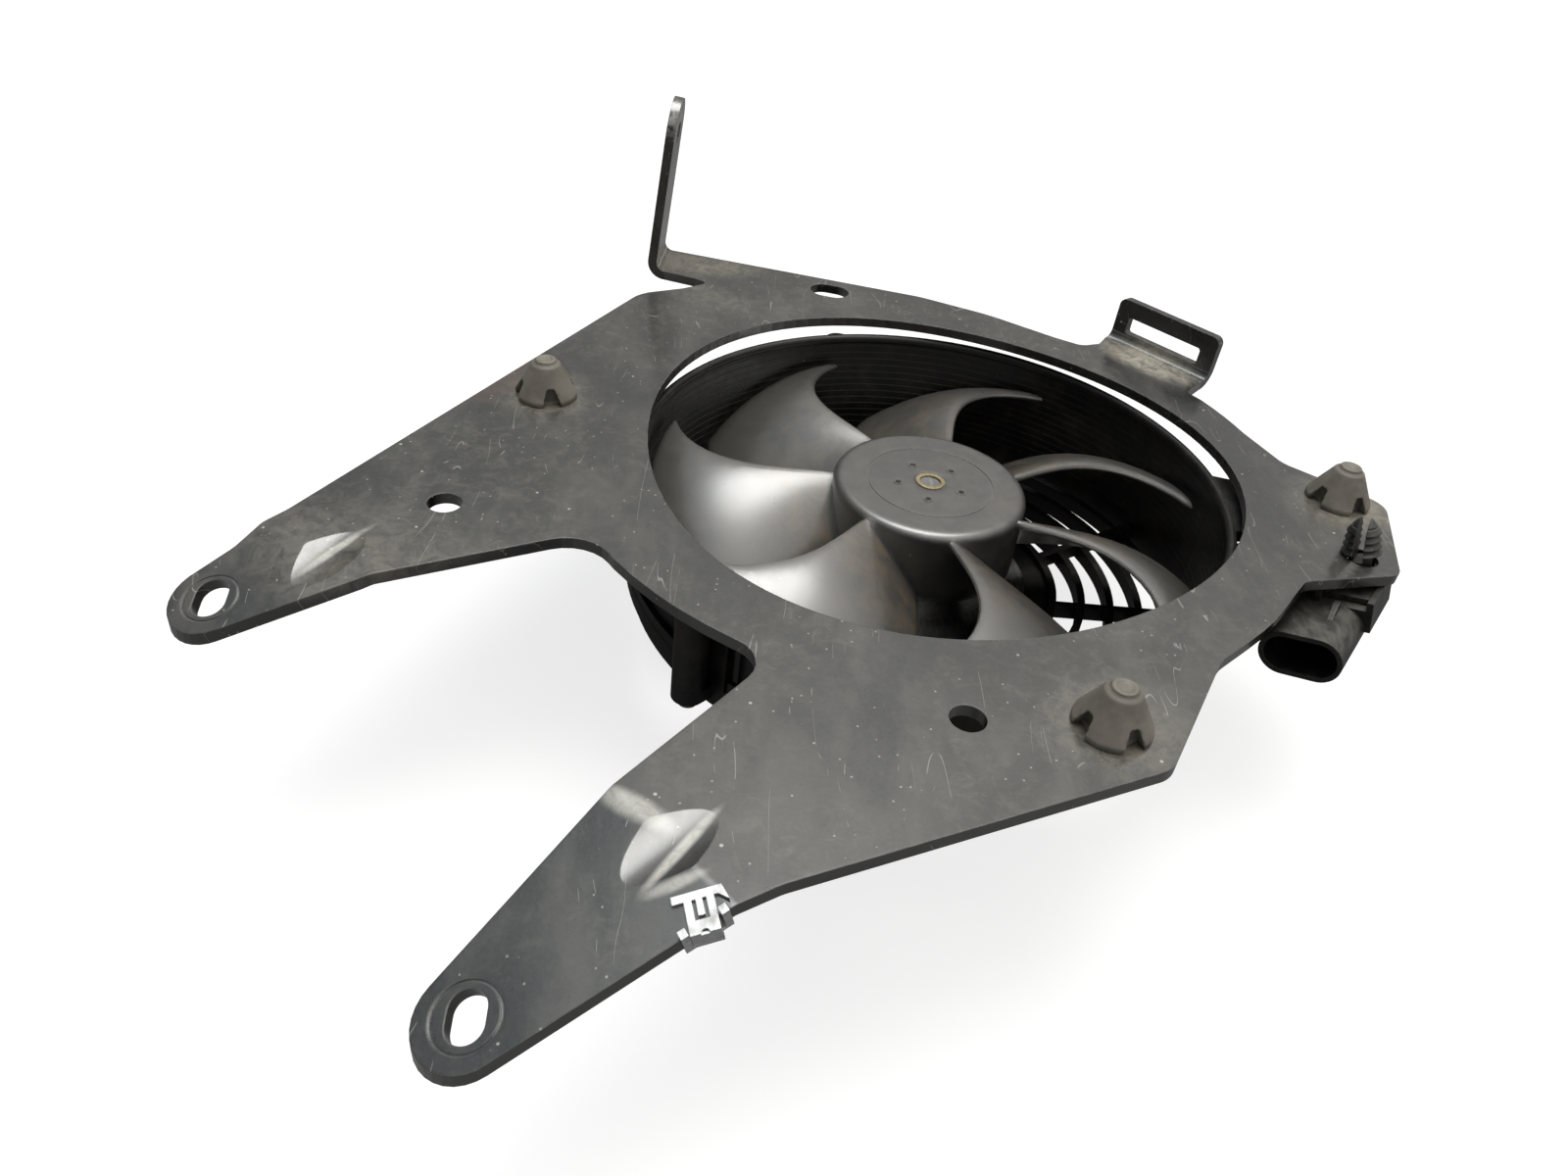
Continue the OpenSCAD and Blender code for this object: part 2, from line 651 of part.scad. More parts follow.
// Drawn steel case, closed at the fan end, with its mounting flange and front bearing pocket
pocket_r = bush_r + 2.3;
front_bush_top = motor_len - case_wall;
grommet_angle = -80;
grommet_z = 10;
grommet_r = 3.5;
module motor_case() color([0.45, 0.46, 0.47]) {
    difference() {
        union() {
            translate([0, 0, cover_t]) cylinder(r = case_r, h = motor_len - cover_t);
            ring(flange_r, case_r - 0.5, floor_top, guard_top);
        }
        difference() {
            translate([0, 0, cover_t - 1]) cylinder(r = case_in, h = front_bush_top - cover_t + 1);
            translate([0, 0, front_bush_top - bush_l]) cylinder(r = pocket_r, h = bush_l + 1);
        }
        translate([0, 0, front_bush_top - bush_l - 1]) cylinder(r = bush_r + press_gap, h = bush_l + 1);
        translate([0, 0, front_bush_top - 1]) cylinder(r = shaft_r + 0.5, h = 4);
        for (a = motor_screw_angles) rotate([0, 0, a]) translate([motor_screw_r, 0, 0])
            cylinder(r = pilot_r + 0.2, h = guard_top + 1);
        rotate([0, 0, grommet_angle]) translate([0, 0, grommet_z]) rotate([0, 90, 0])
            cylinder(r = grommet_r + press_gap, h = 2 * case_r);
    }
}

// Rear cover with its bearing pocket and the rim that the brush card rests on
card_bottom = cover_t + 3;
module motor_rear_cover() color([0.4, 0.41, 0.42]) {
    cylinder(r = case_r, h = cover_t);
    ring(case_in - slide_gap, case_in - 2, cover_t - eps, card_bottom);
    ring(pocket_r, bush_r + press_gap, cover_t - eps, cover_t + bush_l);
}

module plain_bearing(z) {
    ring(bush_r, shaft_r + run_gap, z, z + bush_l);
}
module front_bearing() color([0.66, 0.5, 0.28]) plain_bearing(front_bush_top - bush_l);
module rear_bearing() color([0.66, 0.5, 0.28]) plain_bearing(cover_t);

// Spring washers that hold the two plain bearings in their pockets
retainer_t = 0.5;
module bearing_retainers() color("silver") {
    front = front_bush_top - bush_l;
    ring(pocket_r - 0.2, shaft_r + 1, front - retainer_t, front);
    rear = cover_t + bush_l;
    ring(pocket_r - 0.2, shaft_r + 1, rear, rear + retainer_t);
}

// Heights inside the motor, stacked up from the rear cover and down from the front bearing
card_t = 3;
box_z0 = card_bottom + card_t;
brush_w = 5;
brush_h = 4.5;
brush_z = box_z0 + 0.6;
box_h = brush_h + 1.2;
magnet_z0 = box_z0 + box_h + 2.3;
magnet_z1 = front_bush_top - bush_l - 2;
core_z0 = magnet_z0 + 2;
core_z1 = magnet_z1 - 3;
turn_h = 2.6;
comm_z0 = box_z0 + 0.5;
comm_z1 = core_z0 - turn_h - 0.5;

// Arc magnets on both sides, held apart by two leaf springs
magnet_out = case_in - run_gap;
magnet_half = 70;
module magnet(turn) {
    rotate([0, 0, turn]) intersection() {
        ring(magnet_out, magnet_out - magnet_t, magnet_z0, magnet_z1);
        translate([0, 0, magnet_z0]) linear_extrude(magnet_z1 - magnet_z0)
            polygon(concat([[0, 0]], arc([0, 0], 2 * case_r, -magnet_half, magnet_half, 8)));
    }
}
module magnet_left() color([0.23, 0.23, 0.25]) magnet(150);
module magnet_right() color([0.23, 0.23, 0.25]) magnet(-30);

module magnet_springs() color("silver") for (turn = [60, 240]) rotate([0, 0, turn]) {
    spring_half = 90 - magnet_half - 1;
    leaf = 0.8;
    intersection() {
        ring(magnet_out, magnet_out - leaf, magnet_z0, magnet_z1);
        translate([0, 0, magnet_z0]) linear_extrude(magnet_z1 - magnet_z0)
            polygon(concat([[0, 0]], arc([0, 0], 2 * case_r, -spring_half, spring_half, 4)));
    }
}

// Insulating card with two brush boxes; each box guides a carbon brush pressed in by its spring
box_in = commutator_r + 1.6;
box_out = case_in - 1.6;
spring_space = 6.4;
brush_out = box_out - spring_space;
brush_dirs = [60, 240];
module brush_card() color([0.45, 0.3, 0.18]) {
    difference() {
        ring(case_in - slide_gap, pocket_r + 0.5, card_bottom, box_z0);
        rotate([0, 0, grommet_angle]) translate([case_in - 4, -4, card_bottom - 1]) cube([8, 8, card_t + 2]);
    }
}
module brush_boxes() color([0.75, 0.6, 0.3]) for (turn = brush_dirs) rotate([0, 0, turn]) {
    wall = 0.6;
    difference() {
        translate([box_in, -brush_w / 2 - wall, box_z0])
            cube([box_out - box_in, brush_w + 2 * wall, box_h]);
        translate([box_in - 1, -brush_w / 2 - press_gap, brush_z - press_gap])
            cube([box_out - box_in + 1 - wall, brush_w + 2 * press_gap, brush_h + 2 * press_gap]);
    }
}
module brush(turn) {
    rotate([0, 0, turn]) difference() {
        translate([commutator_r - 1, -brush_w / 2, brush_z])
            cube([brush_out - commutator_r + 1, brush_w, brush_h]);
        translate([0, 0, brush_z - 1]) cylinder(r = commutator_r + run_gap, h = brush_h + 2);
    }
}
module brush_left() color([0.12, 0.12, 0.12]) brush(brush_dirs[1]);
module brush_right() color([0.12, 0.12, 0.12]) brush(brush_dirs[0]);

// Coil springs behind the brushes, each one wire swept along a helix
wire_r = 0.3;
spring_r = 1.7;
spring_turns = 5;
helix_steps = 14;
wire_sides = 6;
function spring_ring(t, length) =
    let (a = 360 * spring_turns * t,
         c = [wire_r + t * (length - 2 * wire_r), spring_r * cos(a), spring_r * sin(a)])
    [for (k = [0:wire_sides - 1]) let (b = 360 * k / wire_sides)
        c + wire_r * [sin(b), cos(b) * cos(a), cos(b) * sin(a)]];
module coil_spring(length) {
    n = spring_turns * helix_steps;
    points = [for (i = [0:n]) each spring_ring(i / n, length)];
    sides = [for (i = [0:n - 1], k = [0:wire_sides - 1]) let (k1 = (k + 1) % wire_sides, p = i * wire_sides)
        each [[p + k, p + k1, p + wire_sides + k1], [p + k, p + wire_sides + k1, p + wire_sides + k]]];
    first = [for (k = [wire_sides - 1:-1:0]) k];
    last = [for (k = [0:wire_sides - 1]) n * wire_sides + k];
    polyhedron(points = points, faces = concat(sides, [first, last]));
}
module brush_springs() color("silver") for (turn = brush_dirs) rotate([0, 0, turn])
    translate([brush_out, 0, brush_z + brush_h / 2]) coil_spring(box_out - 0.6 - brush_out);

// Rubber grommet where the motor's leads leave the case
module lead_grommet() color([0.1, 0.1, 0.1])
    rotate([0, 0, grommet_angle]) translate([0, 0, grommet_z]) rotate([0, 90, 0]) difference() {
        union() {
            translate([0, 0, case_in - 1.2]) cylinder(r = grommet_r, h = case_wall + 4.2, $fn = 48);
            translate([0, 0, case_r + 0.4])
                cylinder(r1 = grommet_r + 1.1, r2 = grommet_r + 0.5, h = 2.4, $fn = 48);
        }
        for (y = [-1.5, 1.5]) translate([0, y, case_in - 3]) cylinder(r = 0.9, h = 12, $fn = 24);
    }

// Places children in the connector's frame: y runs in from the mouth, x to the right, z up
module conn_frame() {
    translate(mouth_pos) rotate([0, 0, conn_heading - 90]) rotate([0, -conn_roll, 0]) children();
}

module conn_tube(w, h, y0, y1) {
    translate([0, y1, 0]) rotate([90, 0, 0]) linear_extrude(y1 - y0) slot_2d(w, h);
}

// Sealed two-pole connector: an open oval mouth, a solid middle and a squared rear with rails on top
rear_w = 17;
rear_h = 10.4;
front_l = 29;
terminal_pitch = 7.6;
terminal_start = 10;
terminal_w = 3;
terminal_t = 1;
seal_r = 2.55;
seal_depth = 8;
rail_h = 2.4;
rail_w = 1.6;
pad_w = 11;
pad_l = 13;
saddle_w = pad_w + 2 * slide_gap + 2 * rail_w;
saddle_y = clip_pos[1] - pad_l;
saddle_l = 20;
module connector_housing() color([0.1, 0.1, 0.1]) conn_frame() {
    difference() {
        union() {
            conn_tube(conn_w, conn_h, 0, front_l);
            translate([-rear_w / 2, front_l - eps, -rear_h / 2]) cube([rear_w, conn_l - front_l, rear_h]);
            translate([clip_pos[0] - saddle_w / 2, saddle_y, 0]) cube([saddle_w, saddle_l, conn_h / 2]);
            for (x = [-saddle_w / 2, saddle_w / 2 - rail_w]) translate([clip_pos[0] + x, saddle_y, 0])
                cube([rail_w, saddle_l, conn_h / 2 + rail_h]);
            translate([conn_w / 2 - 7.5, 10, conn_h / 2 - 0.3]) rotate([90, 0, 90]) linear_extrude(1.5)
                polygon([[0, 0], [8, 0], [8, 2.2], [6.4, 2.2]]);
        }
        conn_tube(conn_w - 2 * conn_wall, conn_h - 2 * conn_wall, -1, mouth_depth);
        for (side = [-1, 1]) translate([side * terminal_pitch / 2, 0, 0]) {
            translate([-terminal_w / 2, mouth_depth - 1, -terminal_t / 2])
                cube([terminal_w, conn_l, terminal_t]);
            translate([0, conn_l - seal_depth, 0]) rotate([-90, 0, 0])
                cylinder(r = seal_r + run_gap, h = seal_depth + 2, $fn = 32);
        }
    }
}

module connector_terminals() color([0.75, 0.72, 0.65]) conn_frame() for (side = [-1, 1])
    translate([side * terminal_pitch / 2, 0, 0]) {
        fit = 0.05;
        translate([-terminal_w / 2 + fit, terminal_start, -terminal_t / 2 + fit])
            cube([terminal_w - 2 * fit, conn_l - seal_depth - terminal_start, terminal_t - 2 * fit]);
    }

module connector_rear_seal() color([0.55, 0.2, 0.08]) conn_frame() for (side = [-1, 1])
    translate([side * terminal_pitch / 2, conn_l - seal_depth + 0.4, 0]) rotate([-90, 0, 0]) difference() {
        union() {
            cylinder(r = seal_r, h = seal_depth + 1, $fn = 32);
            translate([0, 0, seal_depth - 0.4]) cylinder(r = seal_r + 0.45, h = 1.4, $fn = 32);
        }
        translate([0, 0, 2]) cylinder(r = 1, h = seal_depth + 1, $fn = 24);
    }

// Clip on the connector's back: pad between the rails, collar, slotted stem and four barbs
module fir_tree_clip() color([0.12, 0.12, 0.12]) conn_frame() {
    pad_z = conn_h / 2;
    pad_t = 1.8;
    barb_r = 4.9;
    barb_pitch = 1.9;
    barb_count = 4;
    stem_top = clip_height() + plate_t / 2 / cos(conn_roll) + 2 + barb_count * barb_pitch;
    first_barb = stem_top - barb_count * barb_pitch;
    slot_w = 2.4;
    translate([clip_pos[0], clip_pos[1], 0]) difference() {
        union() {
            translate([-pad_w / 2, -pad_l + 3, pad_z]) cube([pad_w, pad_l, pad_t]);
            translate([0, 0, pad_z]) cylinder(r = 4.5, h = pad_t + 1, $fn = 48);
            translate([0, 0, pad_z + pad_t - eps]) cylinder(r1 = 4.5, r2 = clip_collar_r, h = 1.3, $fn = 48);
            translate([0, 0, pad_z]) cylinder(r = clip_stem_r, h = stem_top - pad_z, $fn = 48);
            for (i = [0:barb_count - 1]) translate([0, 0, first_barb + i * barb_pitch])
                cylinder(r1 = barb_r - 0.25 * i, r2 = clip_stem_r + 0.3, h = 1.5, $fn = 48);
            translate([0, 0, stem_top]) cylinder(r1 = clip_stem_r, r2 = 1.6, h = 1.6, $fn = 48);
        }
        translate([-slot_w / 2, -6, clip_height() + 1.2]) cube([slot_w, 12, 20]);
    }
}

// Blade surface: u runs from hub to tip, s from the leading edge to the trailing edge
root_r = hub_r - 1.2;
function blade_r(u) = root_r + (tip_r - root_r) * u;
function le_angle(u) = 171.9 + 21.7 * u - 25.7 * u * u - 9.7 * u * u * u;
function le_z(u) = hub_top - 2.4 + 4.1 * u - 6.3 * u * u;
function chord_angle(u) = 39 - 10 * u + 8 * u * u;
function te_z(u) = hub_top - 20 - 1.5 * u;
function blade_angle(u, s) = le_angle(u) + chord_angle(u) * s;
function blade_z(u, s) = le_z(u) - (le_z(u) - te_z(u)) * pow(s, 1.45 + 0.35 * u);
// Half thickness: a round nose, then a slow taper to a thin trailing edge
function nose(s) = s >= 0.08 ? 1 : sqrt(1 - pow(1 - s / 0.08, 2));
function half_t(s) = blade_t / 2 * nose(s) * (1 - 0.45 * s);
// Point on the upper (side 1) or lower (side -1) face, offset square to the blade on its cylinder
function blade_point(u, s, side) =
    let (r = blade_r(u), d = 0.002, s0 = max(s - d, 0), s1 = min(s + d, 1),
         run = r * (blade_angle(u, s1) - blade_angle(u, s0)) * PI / 180,
         rise = blade_z(u, s1) - blade_z(u, s0), len = norm([run, rise]), t = side * half_t(s),
         a = blade_angle(u, s) - t * rise / len / r * 180 / PI)
    [r * cos(a), r * sin(a), blade_z(u, s) + t * run / len];

blade_u = [for (i = [0:14]) i / 14];
blade_s = [0, 0.012, 0.04, 0.09, 0.17, 0.27, 0.38, 0.5, 0.62, 0.74, 0.87, 1];
module blade() {
    m = len(blade_s);
    n = len(blade_u);
    loop = 2 * m - 1;
    points = [for (u = blade_u) each concat(
        [for (s = blade_s) blade_point(u, s, 1)],
        [for (j = [m - 1:-1:1]) blade_point(u, blade_s[j], -1)]
    )];
    skin = [for (i = [0:n - 2], k = [0:loop - 1]) let (k1 = (k + 1) % loop, p = i * loop)
        each [[p + k, p + loop + k1, p + loop + k], [p + k, p + k1, p + loop + k1]]];
    // Each end is closed by a strip between its upper and lower points
    function cap(p, flip) = [for (j = [1:m - 1])
        let (a = p + j - 1, b = p + j, c = p + loop - j, d = p + (j == 1 ? 0 : loop - j + 1))
        each j == 1 ? [flip ? [a, c, b] : [a, b, c]]
                    : (flip ? [[a, d, c], [a, c, b]] : [[a, b, c], [a, c, d]])];
    polyhedron(points = points, faces = concat(skin, cap(0, true), cap((n - 1) * loop, false)));
}

// One moulding: a cup-shaped hub with a central boss, and the swept blades
insert_r = 4.2;
insert_bottom = motor_len + 1.5;
module impeller() color([0.13, 0.13, 0.13]) {
    centre_r = 7;
    groove_r = 18;
    difference() {
        rotate_extrude() {
            difference() {
                union() {
                    translate([0, hub_bottom]) square([hub_r, hub_depth - hub_round]);
                    translate([0, hub_bottom]) square([hub_r - hub_round, hub_depth]);
                    translate([hub_r - hub_round, hub_top - hub_round]) circle(r = hub_round, $fn = 48);
                }
                translate([-1, hub_bottom - 1]) square([hub_r - hub_wall + 1, hub_depth - hub_wall + 1]);
                translate([-20, hub_bottom - 1]) square([20, hub_depth + 2]);
                translate([groove_r, hub_top - 0.2]) square([0.4, 1]);
            }
        }
        at_dimples() translate([0, 0, hub_top - 0.7]) cylinder(r = dimple_r, h = 2, $fn = 24);
        translate([0, 0, insert_bottom - 1]) cylinder(r = insert_r + press_gap, h = 20);
    }
    ring(centre_r, insert_r + press_gap, insert_bottom, hub_top - hub_wall + eps);
    at_dimples() ring(dimple_r + 0.6, dimple_r + 0.1, hub_top - 0.3, hub_top + 0.15);
    for (i = [0:blade_count - 1]) rotate([0, 0, -i * 360 / blade_count]) blade();
}

// Five small dimples with raised rims around the hub's centre
dimple_count = 5;
dimple_r = 0.8;
dimple_centre_r = 9.5;
module at_dimples() {
    for (i = [0:dimple_count - 1]) rotate([0, 0, 45 + i * 360 / dimple_count])
        translate([dimple_centre_r, 0, 0]) children();
}

module hub_insert() color([0.72, 0.58, 0.3])
    ring(insert_r, shaft_r + press_gap, insert_bottom, hub_top + 0.3);

shaft_bottom = cover_t + 0.8;
module rotor_shaft() color("silver") translate([0, 0, shaft_bottom])
    cylinder(r = shaft_r, h = hub_top - 0.1 - shaft_bottom);

// Laminated core with open slots
module armature_core() color([0.35, 0.36, 0.38]) translate([0, 0, core_z0]) linear_extrude(core_z1 - core_z0)
    difference() {
        circle(r = core_r);
        circle(r = shaft_r + press_gap);
        for (i = [0:slot_count - 1]) rotate(i * 360 / slot_count) slot_shape();
    }
module slot_shape(inset = 0) {
    translate([core_r - 4.3, 0]) circle(r = 2.1 - inset, $fn = 24);
    if (inset == 0) translate([core_r - 4, -0.8]) square([6, 1.6]);
}

// Copper wire: one bundle in each slot, joined by the end turns above and below
module armature_windings() color([0.72, 0.4, 0.2]) {
    for (i = [0:slot_count - 1]) rotate([0, 0, i * 360 / slot_count]) translate([0, 0, core_z0 - 1])
        linear_extrude(core_z1 - core_z0 + 2) slot_shape(0.1);
    for (z = [core_z0 - turn_h, core_z1]) ring(core_r - 1.2, shaft_r + 1.2, z, z + turn_h);
}

module commutator() color([0.75, 0.45, 0.25]) difference() {
    ring(commutator_r, shaft_r + press_gap, comm_z0, comm_z1);
    for (i = [0:slot_count - 1]) rotate([0, 0, (i + 0.5) * 360 / slot_count])
        translate([commutator_r - 0.8, -0.2, comm_z0 - 1]) cube([2, 0.4, comm_z1 - comm_z0 + 2]);
}

module thrust_washers() color("silver") {
    rear = cover_t + bush_l + 0.3;
    front = front_bush_top - bush_l - retainer_t - 0.3;
    ring(shaft_r + 0.9, shaft_r + press_gap, rear, comm_z0);
    ring(shaft_r + 0.9, shaft_r + press_gap, front - 0.8, front);
}

bracket_plate();
rubber_mount_left();
rubber_mount_right();
rubber_mount_front();
edge_clip();
shroud_ring();
guard_grille();
guard_screws();
motor_case();
motor_rear_cover();
motor_screws();
magnet_left();
magnet_right();
magnet_springs();
brush_card();
brush_boxes();
brush_left();
brush_right();
brush_springs();
front_bearing();
rear_bearing();
bearing_retainers();
lead_grommet();
connector_housing();
connector_terminals();
connector_rear_seal();
fir_tree_clip();
impeller();
hub_insert();
rotor_shaft();
armature_core();
armature_windings();
commutator();
thrust_washers();
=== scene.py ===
"""Looks of the radiator cooling fan on its bracket plate: materials, smoothed pieces, studio and camera."""
import json
from collections import namedtuple

import bmesh
import bpy
import numpy as np
from mathutils import Matrix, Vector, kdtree


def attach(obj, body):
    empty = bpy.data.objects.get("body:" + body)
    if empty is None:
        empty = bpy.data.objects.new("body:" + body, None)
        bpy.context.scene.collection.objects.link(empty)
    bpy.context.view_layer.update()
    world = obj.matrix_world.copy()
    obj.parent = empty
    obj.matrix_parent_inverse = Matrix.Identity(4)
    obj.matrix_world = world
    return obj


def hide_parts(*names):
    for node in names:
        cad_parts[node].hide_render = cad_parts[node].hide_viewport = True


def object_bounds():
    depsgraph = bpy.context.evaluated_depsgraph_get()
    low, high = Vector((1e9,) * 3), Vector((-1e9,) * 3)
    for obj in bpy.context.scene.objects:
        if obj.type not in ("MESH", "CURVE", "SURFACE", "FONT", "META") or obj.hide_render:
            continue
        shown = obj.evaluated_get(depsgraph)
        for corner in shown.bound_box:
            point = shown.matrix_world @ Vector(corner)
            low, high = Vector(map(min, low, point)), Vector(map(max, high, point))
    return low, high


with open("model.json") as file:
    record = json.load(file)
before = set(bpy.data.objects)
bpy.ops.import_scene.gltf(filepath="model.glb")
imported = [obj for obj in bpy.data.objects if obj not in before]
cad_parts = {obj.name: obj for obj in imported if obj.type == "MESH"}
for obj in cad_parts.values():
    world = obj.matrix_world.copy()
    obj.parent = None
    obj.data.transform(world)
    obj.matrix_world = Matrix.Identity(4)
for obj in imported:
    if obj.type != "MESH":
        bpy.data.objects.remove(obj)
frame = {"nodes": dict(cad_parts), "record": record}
cad_box = [list(corner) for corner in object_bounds()]
nodes = frame["nodes"]
slots = {entry["node"]: entry["material_slot"] for entry in frame["record"]["subparts"]}
scene = bpy.context.scene
scene.view_settings.view_transform = "Standard"


# Node helpers. All lengths are in metres.

WHITE = (1, 1, 1, 1)


def rgb(r, g, b):
    """Linear colour from 8-bit sRGB numbers."""
    def lin(c):
        c /= 255
        return c / 12.92 if c <= 0.04045 else ((c + 0.055) / 1.055) ** 2.4
    return (lin(r), lin(g), lin(b), 1)


class Nodes:
    """Short calls for the nodes of one node tree."""

    def __init__(self, tree):
        self.tree = tree

    def node(self, kind, **settings):
        n = self.tree.nodes.new(kind)
        for key, value in settings.items():
            setattr(n, key, value)
        return n

    def put(self, value, socket):
        """Link a socket, or set a plain value."""
        if isinstance(value, bpy.types.NodeSocket):
            self.tree.links.new(value, socket)
        else:
            socket.default_value = value

    def fed(self, n, *values):
        """The node itself, with its first inputs fed."""
        for value, socket in zip(values, n.inputs):
            self.put(value, socket)
        return n

    def math(self, operation, *values):
        return self.fed(self.node("ShaderNodeMath", operation=operation), *values).outputs[0]

    def vector(self, operation, *values):
        n = self.fed(self.node("ShaderNodeVectorMath", operation=operation), *values)
        return n.outputs["Value" if operation in ("LENGTH", "DOT_PRODUCT") else "Vector"]

    def axis(self, vector, index):
        return self.fed(self.node("ShaderNodeSeparateXYZ"), vector).outputs[index]

    def ramp(self, value, low, high, out_low=0.0, out_high=1.0):
        """A smooth step from one output to the other between two values."""
        n = self.node("ShaderNodeMapRange", interpolation_type="SMOOTHSTEP")
        self.put(value, n.inputs["Value"])
        limits = {"From Min": low, "From Max": high, "To Min": out_low, "To Max": out_high}
        for key, number in limits.items():
            n.inputs[key].default_value = number
        return n.outputs["Result"]

    def mix(self, share, a, b):
        n = self.node("ShaderNodeMix", data_type="RGBA")
        for value, key in ((share, "Factor"), (a, "A"), (b, "B")):
            self.put(value, n.inputs[key])
        return [o for o in n.outputs if o.type == "RGBA"][0]


class Mat(Nodes):
    """A material around one Principled shader, drawn in the object's own coordinates."""

    BEVEL_SAMPLES = 4
    # How far the rounded normal turns from the true one where a rubbed edge starts and is full
    EDGE_START, EDGE_FULL = 0.06, 0.35
    # The level of noise that scratches follow, and how they are drawn out along it
    HAIR_LEVEL, HAIR_STRETCH = 0.52, (1, 0.14, 1)

    def __init__(self, name, roughness, metallic=0.0, specular=0.5):
        self.mat = bpy.data.materials.new(name)
        self.mat.use_nodes = True
        super().__init__(self.mat.node_tree)
        self.bsdf = self.tree.nodes["Principled BSDF"]
        self.settle(roughness=roughness, metallic=metallic, ior=1.5, specular_ior_level=specular)
        self.place = self.node("ShaderNodeTexCoord").outputs["Object"]

    def settle(self, **values):
        """Set plain values of the shader, such as coat_roughness."""
        sockets = {s.name.lower().replace(" ", "_"): s for s in self.bsdf.inputs}
        for key, value in values.items():
            sockets[key].default_value = value

    def surface(self, output):
        return self.node("ShaderNodeNewGeometry").outputs[output]

    def stretched(self, scale, turn):
        """Coordinates with their axes scaled, and turned about Z."""
        n = self.node("ShaderNodeMapping")
        self.put(self.place, n.inputs["Vector"])
        n.inputs["Scale"].default_value = scale
        n.inputs["Rotation"].default_value = (0, 0, turn)
        return n.outputs["Vector"]

    def noise(self, size, detail=4.0, rough=0.55, place=None, warp=0.0):
        """Noise whose features are about the given size."""
        n = self.node("ShaderNodeTexNoise")
        self.put(place or self.place, n.inputs["Vector"])
        n.inputs["Scale"].default_value = 1 / size
        n.inputs["Detail"].default_value = detail
        n.inputs["Roughness"].default_value = rough
        n.inputs["Distortion"].default_value = warp
        return n.outputs["Fac"]

    def specks(self, cell, size, share):
        """Small round specks: one to a cell, in the given share of the cells."""
        n = self.node("ShaderNodeTexVoronoi")
        self.put(self.place, n.inputs["Vector"])
        n.inputs["Scale"].default_value = 1 / cell
        chosen = self.math("LESS_THAN", self.axis(n.outputs["Color"], 0), share)
        spot = self.ramp(n.outputs["Distance"], size / cell, 0.5 * size / cell)
        return self.math("MULTIPLY", spot, chosen)

    def hairs(self, size, width, cover, turn):
        """Thin scratches: narrow level lines of a stretched noise, broken up by another."""
        drawn_out = self.stretched(self.HAIR_STRETCH, turn)
        field = self.noise(size, detail=1.0, rough=0.4, place=drawn_out, warp=0.2)
        off_level = self.math("ABSOLUTE", self.math("SUBTRACT", field, self.HAIR_LEVEL))
        line = self.ramp(off_level, width, 0.3 * width)
        patch = self.ramp(self.noise(size * 1.7, detail=2.0), 1 - cover, 1 - cover + 0.04)
        return self.math("MULTIPLY", line, patch)

    def rounded(self, radius):
        """The normal as if edges were rounded to this radius."""
        n = self.node("ShaderNodeBevel", samples=self.BEVEL_SAMPLES)
        n.inputs["Radius"].default_value = radius
        return n.outputs["Normal"]

    def edges(self, radius):
        """How near a sharp edge a point is, from 0 to 1."""
        alike = self.vector("DOT_PRODUCT", self.rounded(radius), self.surface("True Normal"))
        return self.ramp(self.math("SUBTRACT", 1.0, alike), self.EDGE_START, self.EDGE_FULL)

    def near(self, centre, radii, turn=0.0):
        """1 at a place on the object, falling to 0 at the given radii from it."""
        turned = self.node("ShaderNodeMapping", vector_type="TEXTURE")
        self.put(self.vector("SUBTRACT", self.place, centre), turned.inputs["Vector"])
        turned.inputs["Rotation"].default_value = (0, 0, turn)
        turned.inputs["Scale"].default_value = radii
        return self.ramp(self.vector("LENGTH", turned.outputs["Vector"]), 1.0, 0.35)

    def bump(self, height, strength, distance, base=None):
        n = self.node("ShaderNodeBump")
        n.inputs["Strength"].default_value = strength
        n.inputs["Distance"].default_value = distance
        self.put(height, n.inputs["Height"])
        if base is not None:
            self.put(base, n.inputs["Normal"])
        return n.outputs["Normal"]

    def finish(self, colour, roughness, normal):
        for value, key in ((colour, "Base Color"), (roughness, "Roughness"), (normal, "Normal")):
            if value is not None:
                self.put(value, self.bsdf.inputs[key])
        return self.mat


# Materials

FINE_GRAIN = 0.0009
DUST = rgb(132, 125, 112)
RUST = rgb(96, 74, 62)
# Pale tone of the painted highlights on the plate's bends and dent ridges
PAINTED_HIGHLIGHT = rgb(216, 213, 204)
